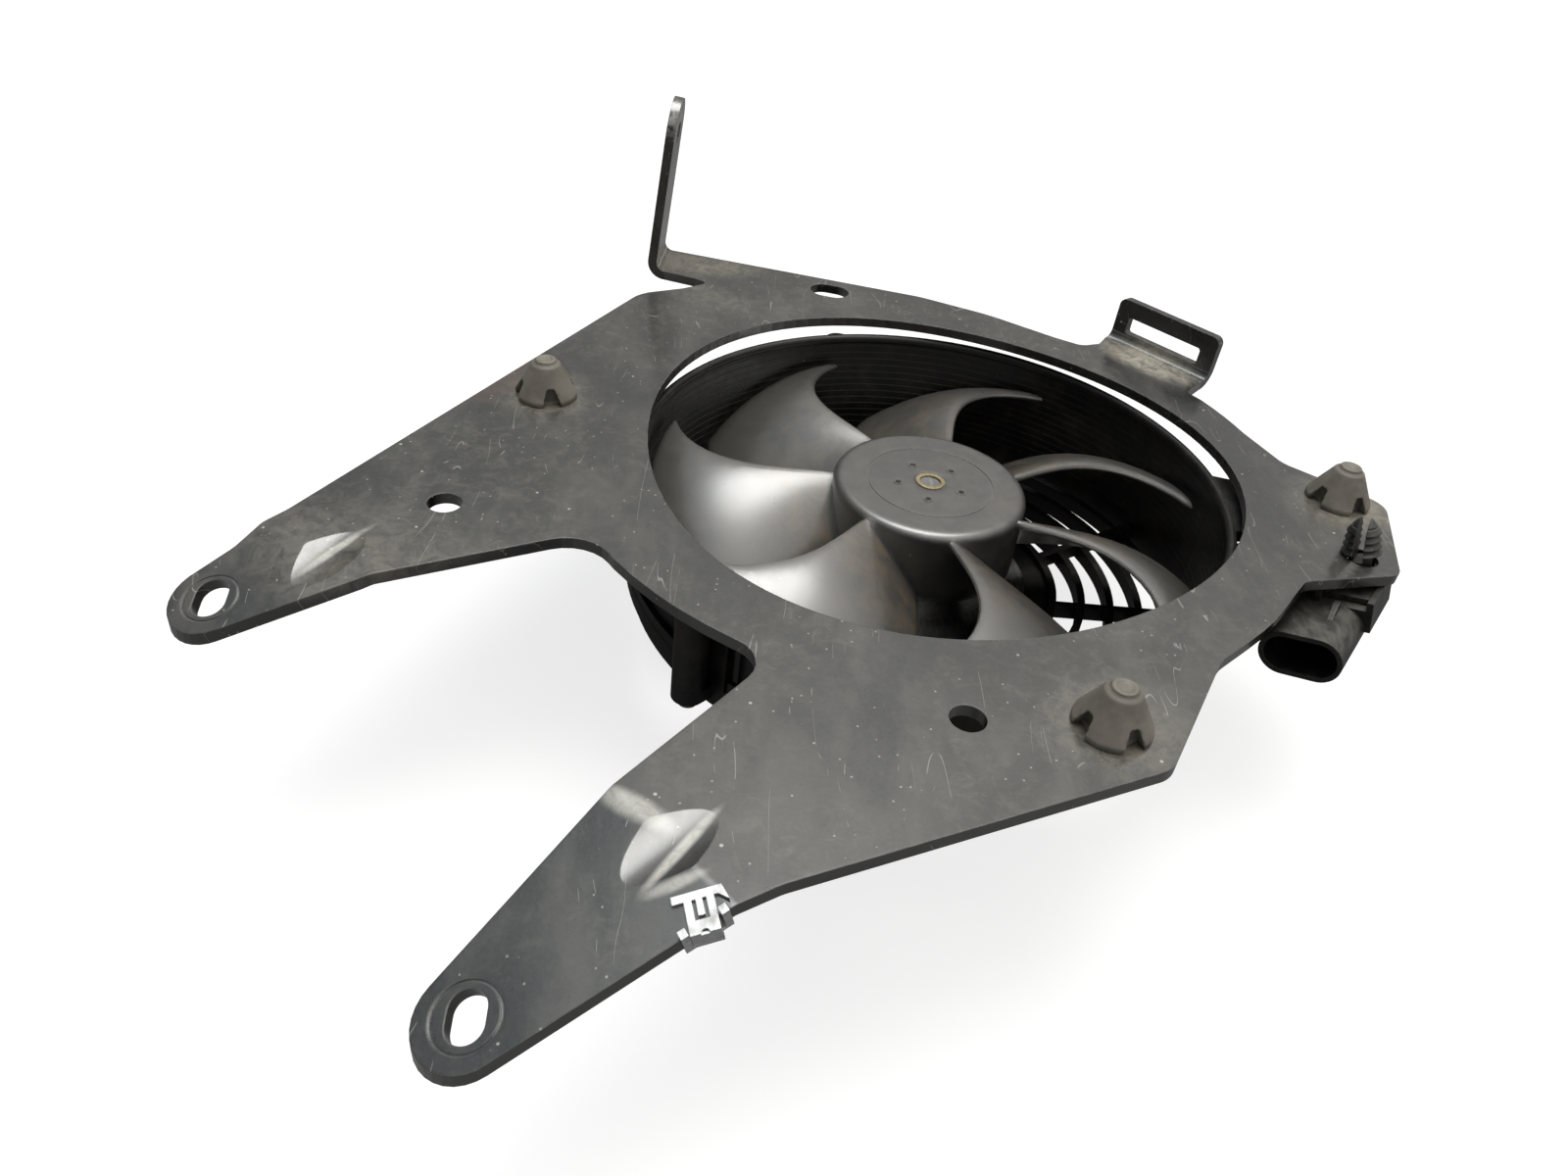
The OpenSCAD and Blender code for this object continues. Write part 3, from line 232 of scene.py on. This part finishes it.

# Dusty and rusty places of the plate, and places with painted highlights and painted shade, each an
# ellipsoid turned about Z, with its cover and tone
Place = namedtuple("Place", "centre radii turn share tone")
PLATE_PLACES = (
    # Dust under the upright tab and on it, and a pale tan strip along the slotted tab's bend, partly dust
    # and partly a painted highlight
    Place((-0.0780, 0.1150, 0.068), (0.036, 0.013, 0.014), 0.0, 1.0, rgb(126, 119, 104)),
    Place((-0.0868, 0.1160, 0.085), (0.006, 0.012, 0.026), 0.0, 1.0, rgb(120, 112, 96)),
    Place((0.0780, 0.0700, 0.067), (0.024, 0.011, 0.008), -0.82, 1.0, rgb(186, 178, 162)),
    # Around the right, left and front rubber mounts
    Place((0.1160, -0.0110, 0.066), (0.020, 0.020, 0.006), 0.0, 1.0, DUST),
    Place((-0.1107, 0.0110, 0.066), (0.018, 0.018, 0.006), 0.0, 0.7, DUST),
    Place((0.0254, -0.1087, 0.066), (0.021, 0.021, 0.006), 0.0, 0.55, DUST),
    # Rust on the left edge, dust at the rear left corner, and a paler grey-tan cloud over the left arm as a
    # painted reflection
    Place((-0.1230, 0.0160, 0.066), (0.026, 0.010, 0.006), 0.9, 0.7, RUST),
    Place((-0.0700, 0.0900, 0.066), (0.030, 0.012, 0.006), -0.6, 0.35, DUST),
    Place((-0.1500, -0.0850, 0.066), (0.055, 0.045, 0.006), 0.0, 0.9, rgb(116, 110, 101)),
    # A dark bluish cloud over the front arm: painted shade
    Place((-0.0900, -0.1700, 0.066), (0.044, 0.050, 0.006), 0.0, 0.9, rgb(17, 21, 26)),
    # Painted highlights along the front arm's bend and on the ridge of its dent, and on the ridge of the
    # left arm's dent
    Place((-0.0706, -0.1400, 0.066), (0.0035, 0.0110, 0.005), 1.04, 0.7, PAINTED_HIGHLIGHT),
    Place((-0.0622, -0.1492, 0.066), (0.0017, 0.0150, 0.006), -0.61, 1.0, PAINTED_HIGHLIGHT),
    Place((-0.0628, -0.1562, 0.066), (0.0018, 0.0080, 0.006), -1.19, 0.7, PAINTED_HIGHLIGHT),
    Place((-0.1463, -0.0696, 0.066), (0.0015, 0.0145, 0.006), -0.60, 0.8, PAINTED_HIGHLIGHT),
)
# Centre and radii of the chipped tip of the upright tab
WORN_TIP = ((-0.0875, 0.1155, 0.1150), (0.02, 0.014, 0.0085))


def painted_steel():
    """Satin charcoal coating, dusty and scratched, with its cut edges painted dark (partly their own
    colour, partly painted shade), and painted highlights and shade in places.
    """
    m = Mat("bracket_paint", 0.3, specular=1.0)
    m.settle(coat_weight=1.0, coat_roughness=0.16, coat_ior=1.6)
    cloud = m.noise(0.06, detail=5.0, rough=0.6)
    smear = m.noise(0.018, detail=6.0, rough=0.65, place=m.stretched((1, 0.45, 1), 0.5), warp=0.4)
    powder = m.noise(0.005, detail=6.0, rough=0.8, warp=0.8)
    grain = m.noise(FINE_GRAIN, detail=3.0, rough=0.7)

    colour = m.mix(m.ramp(cloud, 0.35, 0.65), rgb(34, 35, 35), rgb(50, 50, 47))
    colour = m.mix(m.ramp(smear, 0.46, 0.7, 0.0, 0.5), colour, rgb(84, 78, 70))
    dusty = m.math("MULTIPLY", m.ramp(powder, 0.45, 0.7), m.ramp(cloud, 0.42, 0.62, 0.15, 0.7))
    colour = m.mix(dusty, colour, rgb(104, 98, 90))
    colour = m.mix(m.ramp(grain, 0.3, 0.75, 0.0, 0.25), colour, rgb(78, 77, 74))
    # Faces that stand upright (the cut edges) are painted dark: partly their own colour, partly painted
    # shade
    flatness_for_edge_shade = m.math("ABSOLUTE", m.axis(m.surface("True Normal"), 2))
    colour = m.mix(m.ramp(flatness_for_edge_shade, 0.55, 0.2), colour, rgb(26, 23, 21))

    for spot in PLATE_PLACES:
        # Painted highlights show almost evenly, and dust lies in clouds
        least = 0.6 if spot.tone == PAINTED_HIGHLIGHT else 0.15
        cover = m.ramp(powder, 0.32, 0.62, least, 1.0)
        spread = m.math("MULTIPLY", m.near(spot.centre, spot.radii, spot.turn), cover)
        colour = m.mix(m.math("MULTIPLY", spread, spot.share), colour, spot.tone)

    dots = m.specks(cell=0.0042, size=0.0005, share=0.12)
    tiny = m.specks(cell=0.0019, size=0.00032, share=0.16)
    hair = m.hairs(size=0.006, width=0.005, cover=0.42, turn=0.7)
    long_hair = m.hairs(size=0.009, width=0.004, cover=0.44, turn=2.1)
    flecks = m.math("MAXIMUM", m.math("MULTIPLY", dots, 0.9), m.math("MULTIPLY", tiny, 0.6))
    scratches = m.math("MULTIPLY", m.math("MAXIMUM", hair, long_hair), 0.42)
    colour = m.mix(m.math("MAXIMUM", flecks, scratches), colour, rgb(190, 186, 176))

    chipped = m.ramp(m.noise(0.0022, rough=0.7), 0.42, 0.56)
    colour = m.mix(m.math("MULTIPLY", m.near(*WORN_TIP), chipped), colour, rgb(196, 192, 184))
    rub = m.math("MULTIPLY", m.edges(0.0006), m.ramp(m.noise(0.006), 0.42, 0.6, 0.15, 0.9))
    colour = m.mix(rub, colour, rgb(150, 148, 142))

    normal = m.bump(grain, 0.12, 0.0002, m.rounded(0.0006))
    normal = m.bump(m.math("ADD", hair, dots), 0.3, 0.0001, normal)
    return m.finish(colour, m.ramp(smear, 0.3, 0.7, 0.22, 0.46), normal)


# Height above which settled dust shows, just over the connector's mouth
SETTLED_LOW, SETTLED_HIGH = 0.052, 0.055


def moulded_plastic(name, dark, light, dust, dust_cover, settled=0.0):
    """Dark moulded plastic with powdery dust, and more of it settled on what faces up."""
    m = Mat(name, 0.36)
    cloud = m.noise(0.03, detail=5.0, rough=0.6)
    grain = m.noise(FINE_GRAIN, detail=3.0, rough=0.7)
    powder = m.noise(0.009, detail=6.0, rough=0.7, warp=0.5)
    colour = m.mix(m.ramp(cloud, 0.35, 0.65), dark, light)
    cover = m.math("MULTIPLY", m.ramp(powder, 0.4, 0.75), m.ramp(cloud, 0.3, 0.6, 0.4, 1.0))
    colour = m.mix(m.math("MULTIPLY", cover, dust_cover), colour, dust)
    flecks = m.specks(cell=0.006, size=0.0003, share=0.25)
    colour = m.mix(m.math("MULTIPLY", flecks, 0.6), colour, rgb(150, 142, 130))
    colour = m.mix(m.math("MULTIPLY", m.edges(0.0004), 0.25), colour, dust)
    if settled:
        upward = m.ramp(m.axis(m.surface("Normal"), 2), 0.3, 0.95, 0.0, settled)
        outside = m.math("MULTIPLY", upward, m.ramp(m.axis(m.place, 2), SETTLED_LOW, SETTLED_HIGH))
        streaks = m.noise(0.0035, detail=5.0, rough=0.7, place=m.stretched((1, 0.3, 1), -0.65))
        colour = m.mix(m.math("MULTIPLY", outside, m.ramp(streaks, 0.38, 0.66, 0.25, 1.0)), colour, dust)
    normal = m.bump(grain, 0.15, 0.00015, m.rounded(0.0004))
    return m.finish(colour, m.ramp(powder, 0.3, 0.75, 0.31, 0.5), normal)


# Distances from the fan axis: the hub's face, its side, the blades' roots, and where dust is thin
HUB_FACE, HUB_SIDE, BLADE_ROOT, DUST_THIN = 0.0275, 0.0285, 0.0305, 0.072


def blade_plastic():
    """Grey moulded plastic of the fan, dusty on the blades near the hub, its blades painted paler than the
    hub as a painted highlight.
    """
    m = Mat("fan_plastic", 0.3, specular=1.0)
    m.settle(coat_weight=1.0, coat_roughness=0.27, coat_ior=1.9)
    cloud = m.noise(0.03, detail=5.0, rough=0.6)
    grain = m.noise(FINE_GRAIN, detail=3.0, rough=0.7)
    powder = m.noise(0.007, detail=6.0, rough=0.75, warp=0.5)
    out = m.vector("LENGTH", m.vector("MULTIPLY", m.place, (1, 1, 0)))
    thinning = m.ramp(out, DUST_THIN, 0.030, 0.15, 1.0)
    on_blade = m.math("MULTIPLY", m.ramp(out, HUB_SIDE, BLADE_ROOT), thinning)
    on_face = m.math("MULTIPLY", m.ramp(out, HUB_SIDE, HUB_FACE), 0.35)

    colour = m.mix(m.ramp(cloud, 0.35, 0.65), rgb(56, 56, 56), rgb(70, 70, 68))
    # The blades are painted paler than the hub: a painted highlight standing in for the light they catch
    colour = m.mix(m.ramp(out, HUB_SIDE, BLADE_ROOT, 0.0, 0.4), colour, rgb(96, 93, 88))
    cover = m.math("MULTIPLY", m.ramp(powder, 0.36, 0.68), m.math("ADD", on_blade, on_face))
    colour = m.mix(m.math("MULTIPLY", cover, 0.8), colour, rgb(112, 98, 80))
    scratches = m.math("MULTIPLY", m.hairs(size=0.006, width=0.007, cover=0.34, turn=1.1), 0.35)
    nicks = m.math("MAXIMUM", scratches, m.specks(cell=0.007, size=0.0004, share=0.25))
    colour = m.mix(m.math("MULTIPLY", nicks, 0.7), colour, rgb(150, 143, 132))
    colour = m.mix(m.math("MULTIPLY", m.edges(0.0005), 0.6), colour, rgb(150, 142, 128))
    normal = m.bump(grain, 0.15, 0.00015, m.rounded(0.003))
    return m.finish(colour, m.ramp(powder, 0.3, 0.75, 0.27, 0.42), normal)


def soft_rubber():
    """Weathered grey rubber, its upward faces painted paler as a painted highlight."""
    m = Mat("mount_rubber", 0.5)
    powder = m.noise(0.006, detail=5.0, rough=0.6)
    fine = m.noise(0.0006, rough=0.7)
    colour = m.mix(m.ramp(powder, 0.35, 0.7), rgb(104, 100, 93), rgb(132, 126, 117))
    colour = m.mix(m.ramp(fine, 0.45, 0.8, 0.0, 0.2), colour, rgb(142, 137, 128))
    flecks = m.specks(cell=0.003, size=0.0003, share=0.3)
    colour = m.mix(m.math("MULTIPLY", flecks, 0.4), colour, rgb(170, 165, 154))
    # Upward faces are painted paler: a painted highlight
    painted_top_light = m.ramp(m.axis(m.surface("Normal"), 2), 0.1, 0.8, 0.0, 0.35)
    colour = m.mix(painted_top_light, colour, rgb(146, 139, 127))
    return m.finish(colour, m.ramp(powder, 0.3, 0.7, 0.44, 0.6), m.bump(fine, 0.25, 0.0002))


def metal(name, low, high, roughness, tarnish=None, cover=0.3):
    """Bare metal with fine drawn lines, tarnished in clouds."""
    m = Mat(name, roughness, metallic=1.0)
    lines = m.noise(0.0008, detail=3.0, rough=0.6, place=m.stretched((1, 0.15, 1), 0.3))
    cloud = m.noise(0.008, detail=5.0, rough=0.6)
    colour = m.mix(m.ramp(lines, 0.3, 0.7), low, high)
    if tarnish:
        colour = m.mix(m.ramp(cloud, 0.5, 0.75, 0.0, cover), colour, tarnish)
    rough = m.ramp(cloud, 0.3, 0.7, roughness - 0.08, roughness + 0.1)
    return m.finish(colour, rough, m.bump(lines, 0.1, 0.0001, m.rounded(0.0002)))


def plain(name, low, high, roughness, specular=0.4):
    """A plain solid stuff, cloudy in colour and in gloss."""
    m = Mat(name, roughness, specular=specular)
    cloud = m.noise(0.003, detail=5.0, rough=0.65)
    fine = m.noise(0.00045, detail=3.0, rough=0.7)
    colour = m.mix(m.ramp(cloud, 0.35, 0.65), low, high)
    rough = m.ramp(cloud, 0.3, 0.7, roughness - 0.06, roughness + 0.08)
    return m.finish(colour, rough, m.bump(fine, 0.2, 0.0001))


def wound_copper():
    """Enamelled wire, laid in bands."""
    m = Mat("copper_wire", 0.3, metallic=0.9)
    wave = m.node("ShaderNodeTexWave", wave_type="BANDS", bands_direction="DIAGONAL")
    m.put(m.place, wave.inputs["Vector"])
    wave.inputs["Scale"].default_value = 420
    wave.inputs["Distortion"].default_value = 1.2
    turns = wave.outputs["Fac"]
    colour = m.mix(turns, rgb(84, 38, 18), rgb(196, 108, 62))
    return m.finish(colour, None, m.bump(turns, 0.6, 0.0003))


# Name, darker and lighter tone, roughness, then the tarnish and how much of it, if any
METALS = (
    ("spring_steel", rgb(214, 215, 216), rgb(240, 241, 242), 0.4, rgb(120, 112, 100), 0.6),
    ("screw_steel", rgb(168, 168, 162), rgb(200, 199, 192), 0.34, rgb(120, 100, 76)),
    ("case_steel", rgb(150, 151, 150), rgb(178, 178, 176), 0.36, rgb(110, 98, 84)),
    ("shaft_steel", rgb(176, 176, 176), rgb(206, 206, 205), 0.22),
    ("core_steel", rgb(110, 112, 116), rgb(140, 142, 146), 0.4),
    ("brass_part", rgb(176, 160, 124), rgb(204, 190, 156), 0.4, rgb(108, 96, 76), 0.5),
    ("bronze", rgb(150, 108, 62), rgb(182, 136, 84), 0.42),
    ("terminal_metal", rgb(196, 190, 176), rgb(220, 216, 204), 0.26),
    ("copper_bar", rgb(168, 98, 60), rgb(200, 126, 84), 0.3),
)
# Name, darker and lighter tone, roughness, then the specular level, if it isn't the usual one
PLAIN_STUFFS = (
    ("card_plastic", rgb(112, 78, 48), rgb(134, 96, 60), 0.5),
    ("black_rubber", rgb(24, 24, 24), rgb(36, 35, 34), 0.65),
    ("seal_rubber", rgb(140, 56, 26), rgb(164, 72, 36), 0.5),
    ("magnet", rgb(50, 50, 53), rgb(66, 66, 68), 0.55),
    ("carbon", rgb(26, 26, 27), rgb(44, 44, 45), 0.45, 0.6),
)
finishes = {
    "bracket_paint": painted_steel(),
    "mount_rubber": soft_rubber(),
    "duct_plastic": moulded_plastic("duct_plastic", rgb(12, 13, 14), rgb(20, 20, 20),
                                    dust=rgb(74, 62, 51), dust_cover=0.4),
    "fan_plastic": blade_plastic(),
    "connector_plastic": moulded_plastic("connector_plastic", rgb(16, 16, 16), rgb(26, 26, 26),
                                         dust=rgb(108, 105, 99), dust_cover=0.3, settled=0.8),
    "copper_wire": wound_copper(),
}
finishes.update({row[0]: metal(*row) for row in METALS})
finishes.update({row[0]: plain(*row) for row in PLAIN_STUFFS})

for node_name, slot_name in slots.items():
    for holder in nodes[node_name].material_slots:
        holder.material = finishes[slot_name]


# Pieces shown in place of CAD solids

def copied(name, node):
    """An object with its own copy of a CAD solid's mesh."""
    mesh = nodes[node].data.copy()
    mesh.name = name
    piece = bpy.data.objects.new(name, mesh)
    scene.collection.objects.link(piece)
    return piece


MERGE_DISTANCE = 1e-6


def softened(name, node, voxel, rounds):
    """Show a finely remeshed and smoothed copy of a solid that stands still."""
    piece = copied(name, node)
    bm = bmesh.new()
    bm.from_mesh(piece.data)
    bmesh.ops.remove_doubles(bm, verts=bm.verts, dist=MERGE_DISTANCE)
    bm.to_mesh(piece.data)
    bm.free()
    remesh = piece.modifiers.new("remesh", "REMESH")
    remesh.mode = "VOXEL"
    remesh.voxel_size = voxel
    remesh.use_smooth_shade = True
    smooth = piece.modifiers.new("smooth", "SMOOTH")
    smooth.factor = 0.5
    smooth.iterations = rounds
    dg = bpy.context.evaluated_depsgraph_get()
    dg.update()
    done = bpy.data.meshes.new_from_object(piece.evaluated_get(dg))
    piece.modifiers.clear()
    piece.data = done
    done.name = name
    slot = slots[node]
    done.materials.clear()
    done.materials.append(finishes[slot])
    done.polygons.foreach_set("use_smooth", [True] * len(done.polygons))
    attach(piece, "frame")
    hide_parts(node)


# Square metres of surface to each random spot, and the seed of the spots
SPOT_AREA, SPOT_SEED = 1.0e-6, 7
# The corners of a vertex share a normal when their faces agree to one part in this many
NORMAL_STEPS = 8
# A little over 1, so that a spot at the full reach still has some weight
NEAREST_WEIGHT = 1.02
# Areas and lengths under these count as nothing
NO_AREA, NO_LENGTH = 1e-15, 1e-12


def surface_spots(mesh, points, inner):
    """Random spots spread evenly over the mesh outside a radius, with their facing and their area."""
    mesh.calc_loop_triangles()
    corners = np.empty(len(mesh.loop_triangles) * 3, dtype=int)
    mesh.loop_triangles.foreach_get("vertices", corners)
    a, b, c = (points[corners.reshape(-1, 3)[:, i]] for i in range(3))
    cross = np.cross(b - a, c - a)
    area = np.linalg.norm(cross, axis=1) / 2
    facing = cross / np.maximum(2 * area, NO_AREA)[:, None]
    outer = np.hypot(*((a + b + c) / 3)[:, :2].T) > inner
    counts = np.where(outer, np.ceil(area / SPOT_AREA).astype(int), 0)
    owner = np.repeat(np.arange(len(area)), counts)
    dice = np.random.default_rng(SPOT_SEED)
    u, v = dice.random(len(owner)), dice.random(len(owner))
    flip = u + v > 1
    u, v = np.where(flip, 1 - u, u), np.where(flip, 1 - v, v)
    spots = a[owner] + u[:, None] * (b - a)[owner] + v[:, None] * (c - a)[owner]
    return spots, facing[owner], area[owner] / counts[owner]


def evened(name, node, inner, reach, alike):
    """Show a copy of a turning solid, its shape kept and its shading outside a radius averaged.

    Each corner's normal becomes the mean over the surface within reach that faces about the same way.
    """
    piece = copied(name, node)
    mesh = piece.data
    points = np.empty(len(mesh.vertices) * 3)
    mesh.vertices.foreach_get("co", points)
    points = points.reshape(-1, 3)
    spots, facing, weight = surface_spots(mesh, points, inner - reach)
    tree = kdtree.KDTree(len(spots))
    for i, spot in enumerate(spots):
        tree.insert(spot, i)
    tree.balance()

    def averaged(place, own):
        found = tree.find_range(place, reach)
        if not found:
            return own
        index = np.array([f[1] for f in found], dtype=int)
        far = np.array([f[2] for f in found])
        near = facing[index]
        share = weight[index] * (NEAREST_WEIGHT - (far / reach) ** 2) * (near @ own > alike)
        total = share @ near
        size = np.linalg.norm(total)
        return total / size if size > NO_LENGTH else own

    known = {}
    normals = [None] * len(mesh.loops)
    for face in mesh.polygons:
        own = np.array(face.normal)
        for loop in face.loop_indices:
            vertex = mesh.loops[loop].vertex_index
            place = points[vertex]
            if np.hypot(place[0], place[1]) < inner:
                normals[loop] = tuple(mesh.corner_normals[loop].vector)
                continue
            key = (vertex, *np.round(own * NORMAL_STEPS).astype(int))
            if key not in known:
                known[key] = tuple(averaged(place, own))
            normals[loop] = known[key]
    mesh.normals_split_custom_set(normals)
    slot = slots[node]
    for index in range(len(mesh.materials)):
        mesh.materials[index] = finishes[slot]
    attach(piece, "rotor")
    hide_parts(node)


for side in ("left", "right", "front"):
    softened(f"soft_mount_{side}", f"rubber_mount_{side}", voxel=0.0003, rounds=4)
evened("evened_impeller", "impeller", inner=0.0292, reach=0.005, alike=0.85)


# Floor: grey paper that keeps a soft shadow and shows white to the camera

FLOOR_HALF = 6.0
FLOOR_GLOW = 0.78
# Share of the glow that mirrors see
MIRRORED_GLOW = 0.05
# How pale the paper is to bounced light, and how much paler to the camera
PAPER_GREY, PAPER_LIFT = 0.15, 0.2

bm = bmesh.new()
bmesh.ops.create_grid(bm, x_segments=8, y_segments=8, size=FLOOR_HALF)
bmesh.ops.translate(bm, verts=bm.verts, vec=(0, 0, cad_box[0][2]))
floor_mesh = bpy.data.meshes.new("floor")
bm.to_mesh(floor_mesh)
bm.free()
floor = bpy.data.objects.new("floor", floor_mesh)
scene.collection.objects.link(floor)

pale = bpy.data.materials.new("pale_floor")
pale.use_nodes = True
pale.node_tree.nodes.clear()
f = Nodes(pale.node_tree)
ray = f.node("ShaderNodeLightPath").outputs
direct = f.math("MAXIMUM", ray["Is Camera Ray"], ray["Is Transmission Ray"])
glow = f.node("ShaderNodeEmission")
glow.inputs["Color"].default_value = WHITE
lit = f.math("MULTIPLY_ADD", ray["Is Glossy Ray"], MIRRORED_GLOW, direct)
f.put(f.math("MULTIPLY", lit, FLOOR_GLOW), glow.inputs["Strength"])
paper = f.node("ShaderNodeBsdfDiffuse")
f.put(f.math("MULTIPLY_ADD", direct, PAPER_LIFT, PAPER_GREY), paper.inputs["Color"])
both = f.fed(f.node("ShaderNodeAddShader"), paper.outputs[0], glow.outputs[0])
f.fed(f.node("ShaderNodeOutputMaterial"), both.outputs[0])
floor_mesh.materials.append(pale)


# World: a room dim at eye level and brighter overhead and to the right, with one broad ceiling light

# Strength at eye level, and what is added toward straight overhead
ROOM_LOW, ROOM_TOP = 0.08, 1.2
# Shares of it at the left and right, and how far across they start
ROOM_LEFT, ROOM_RIGHT = 0.3, 1.1
LEFT_FROM, RIGHT_FROM = -0.75, 0.2
# Tints at the left and right, and how far across they start
COOL, WARM = (0.84, 0.95, 1.0, 1), (1.0, 0.99, 0.96, 1)
COOL_FROM, WARM_FROM = -0.6, 0.0
CEILING_LIGHT = (0.03, 0.19, 0.981)
# Cosines from the ceiling light's centre at which it ends and at which it is full, and its strength
LIGHT_END, LIGHT_FULL, LIGHT_STRENGTH = 0.905, 0.99, 5.5
# Heights under which mirrors see the white background, and over which they see the room
HORIZON_WHITE, HORIZON_ROOM = 0.03, 0.1

world = bpy.data.worlds.new("studio")
scene.world = world
world.use_nodes = True
world.node_tree.nodes.clear()
w = Nodes(world.node_tree)
toward = w.node("ShaderNodeTexCoord").outputs["Generated"]
across, above = w.axis(toward, 0), w.axis(toward, 2)
height = w.math("MAXIMUM", above, 0.0)
rise = w.math("MULTIPLY_ADD", w.math("MULTIPLY", height, height), ROOM_TOP, ROOM_LOW)
sideways = w.ramp(across, LEFT_FROM, RIGHT_FROM, ROOM_LEFT, ROOM_RIGHT)
aim = w.vector("DOT_PRODUCT", toward, CEILING_LIGHT)
panel = w.ramp(aim, LIGHT_END, LIGHT_FULL, 0.0, LIGHT_STRENGTH)
room = w.node("ShaderNodeBackground")
w.put(w.math("ADD", w.math("MULTIPLY", rise, sideways), panel), room.inputs["Strength"])
w.put(w.mix(w.ramp(across, COOL_FROM, WARM_FROM), COOL, WARM), room.inputs["Color"])
white = w.node("ShaderNodeBackground")
white.inputs["Color"].default_value = WHITE
ray = w.node("ShaderNodeLightPath").outputs
mirrored = w.math("MAXIMUM", ray["Is Glossy Ray"], ray["Is Transmission Ray"])
horizon = w.math("MULTIPLY", mirrored, w.ramp(above, HORIZON_WHITE, HORIZON_ROOM, 1.0, 0.0))
seen = w.math("MAXIMUM", ray["Is Camera Ray"], horizon)
choice = w.fed(w.node("ShaderNodeMixShader"), seen, room.outputs[0], white.outputs[0])
w.fed(w.node("ShaderNodeOutputWorld"), choice.outputs[0])


# Camera at the photograph's place, its sensor and lens in millimetres

EYE = (-0.0600, -0.28675, 0.2291)
RIGHT, UP, BACK = (0.9948, 0.0, 0.1022), (-0.0814, 0.6044, 0.7925), (-0.0618, -0.7967, 0.6012)
SENSOR_WIDTH, LENS = 36, 27

camera_data = bpy.data.cameras.new("camera")
camera_data.sensor_width = SENSOR_WIDTH
camera_data.lens = LENS
camera_data.clip_start, camera_data.clip_end = 0.01, 50
camera = bpy.data.objects.new("camera", camera_data)
scene.collection.objects.link(camera)
camera.matrix_world = Matrix([*zip(RIGHT, UP, BACK, EYE), (0, 0, 0, 1)])
scene.camera = camera
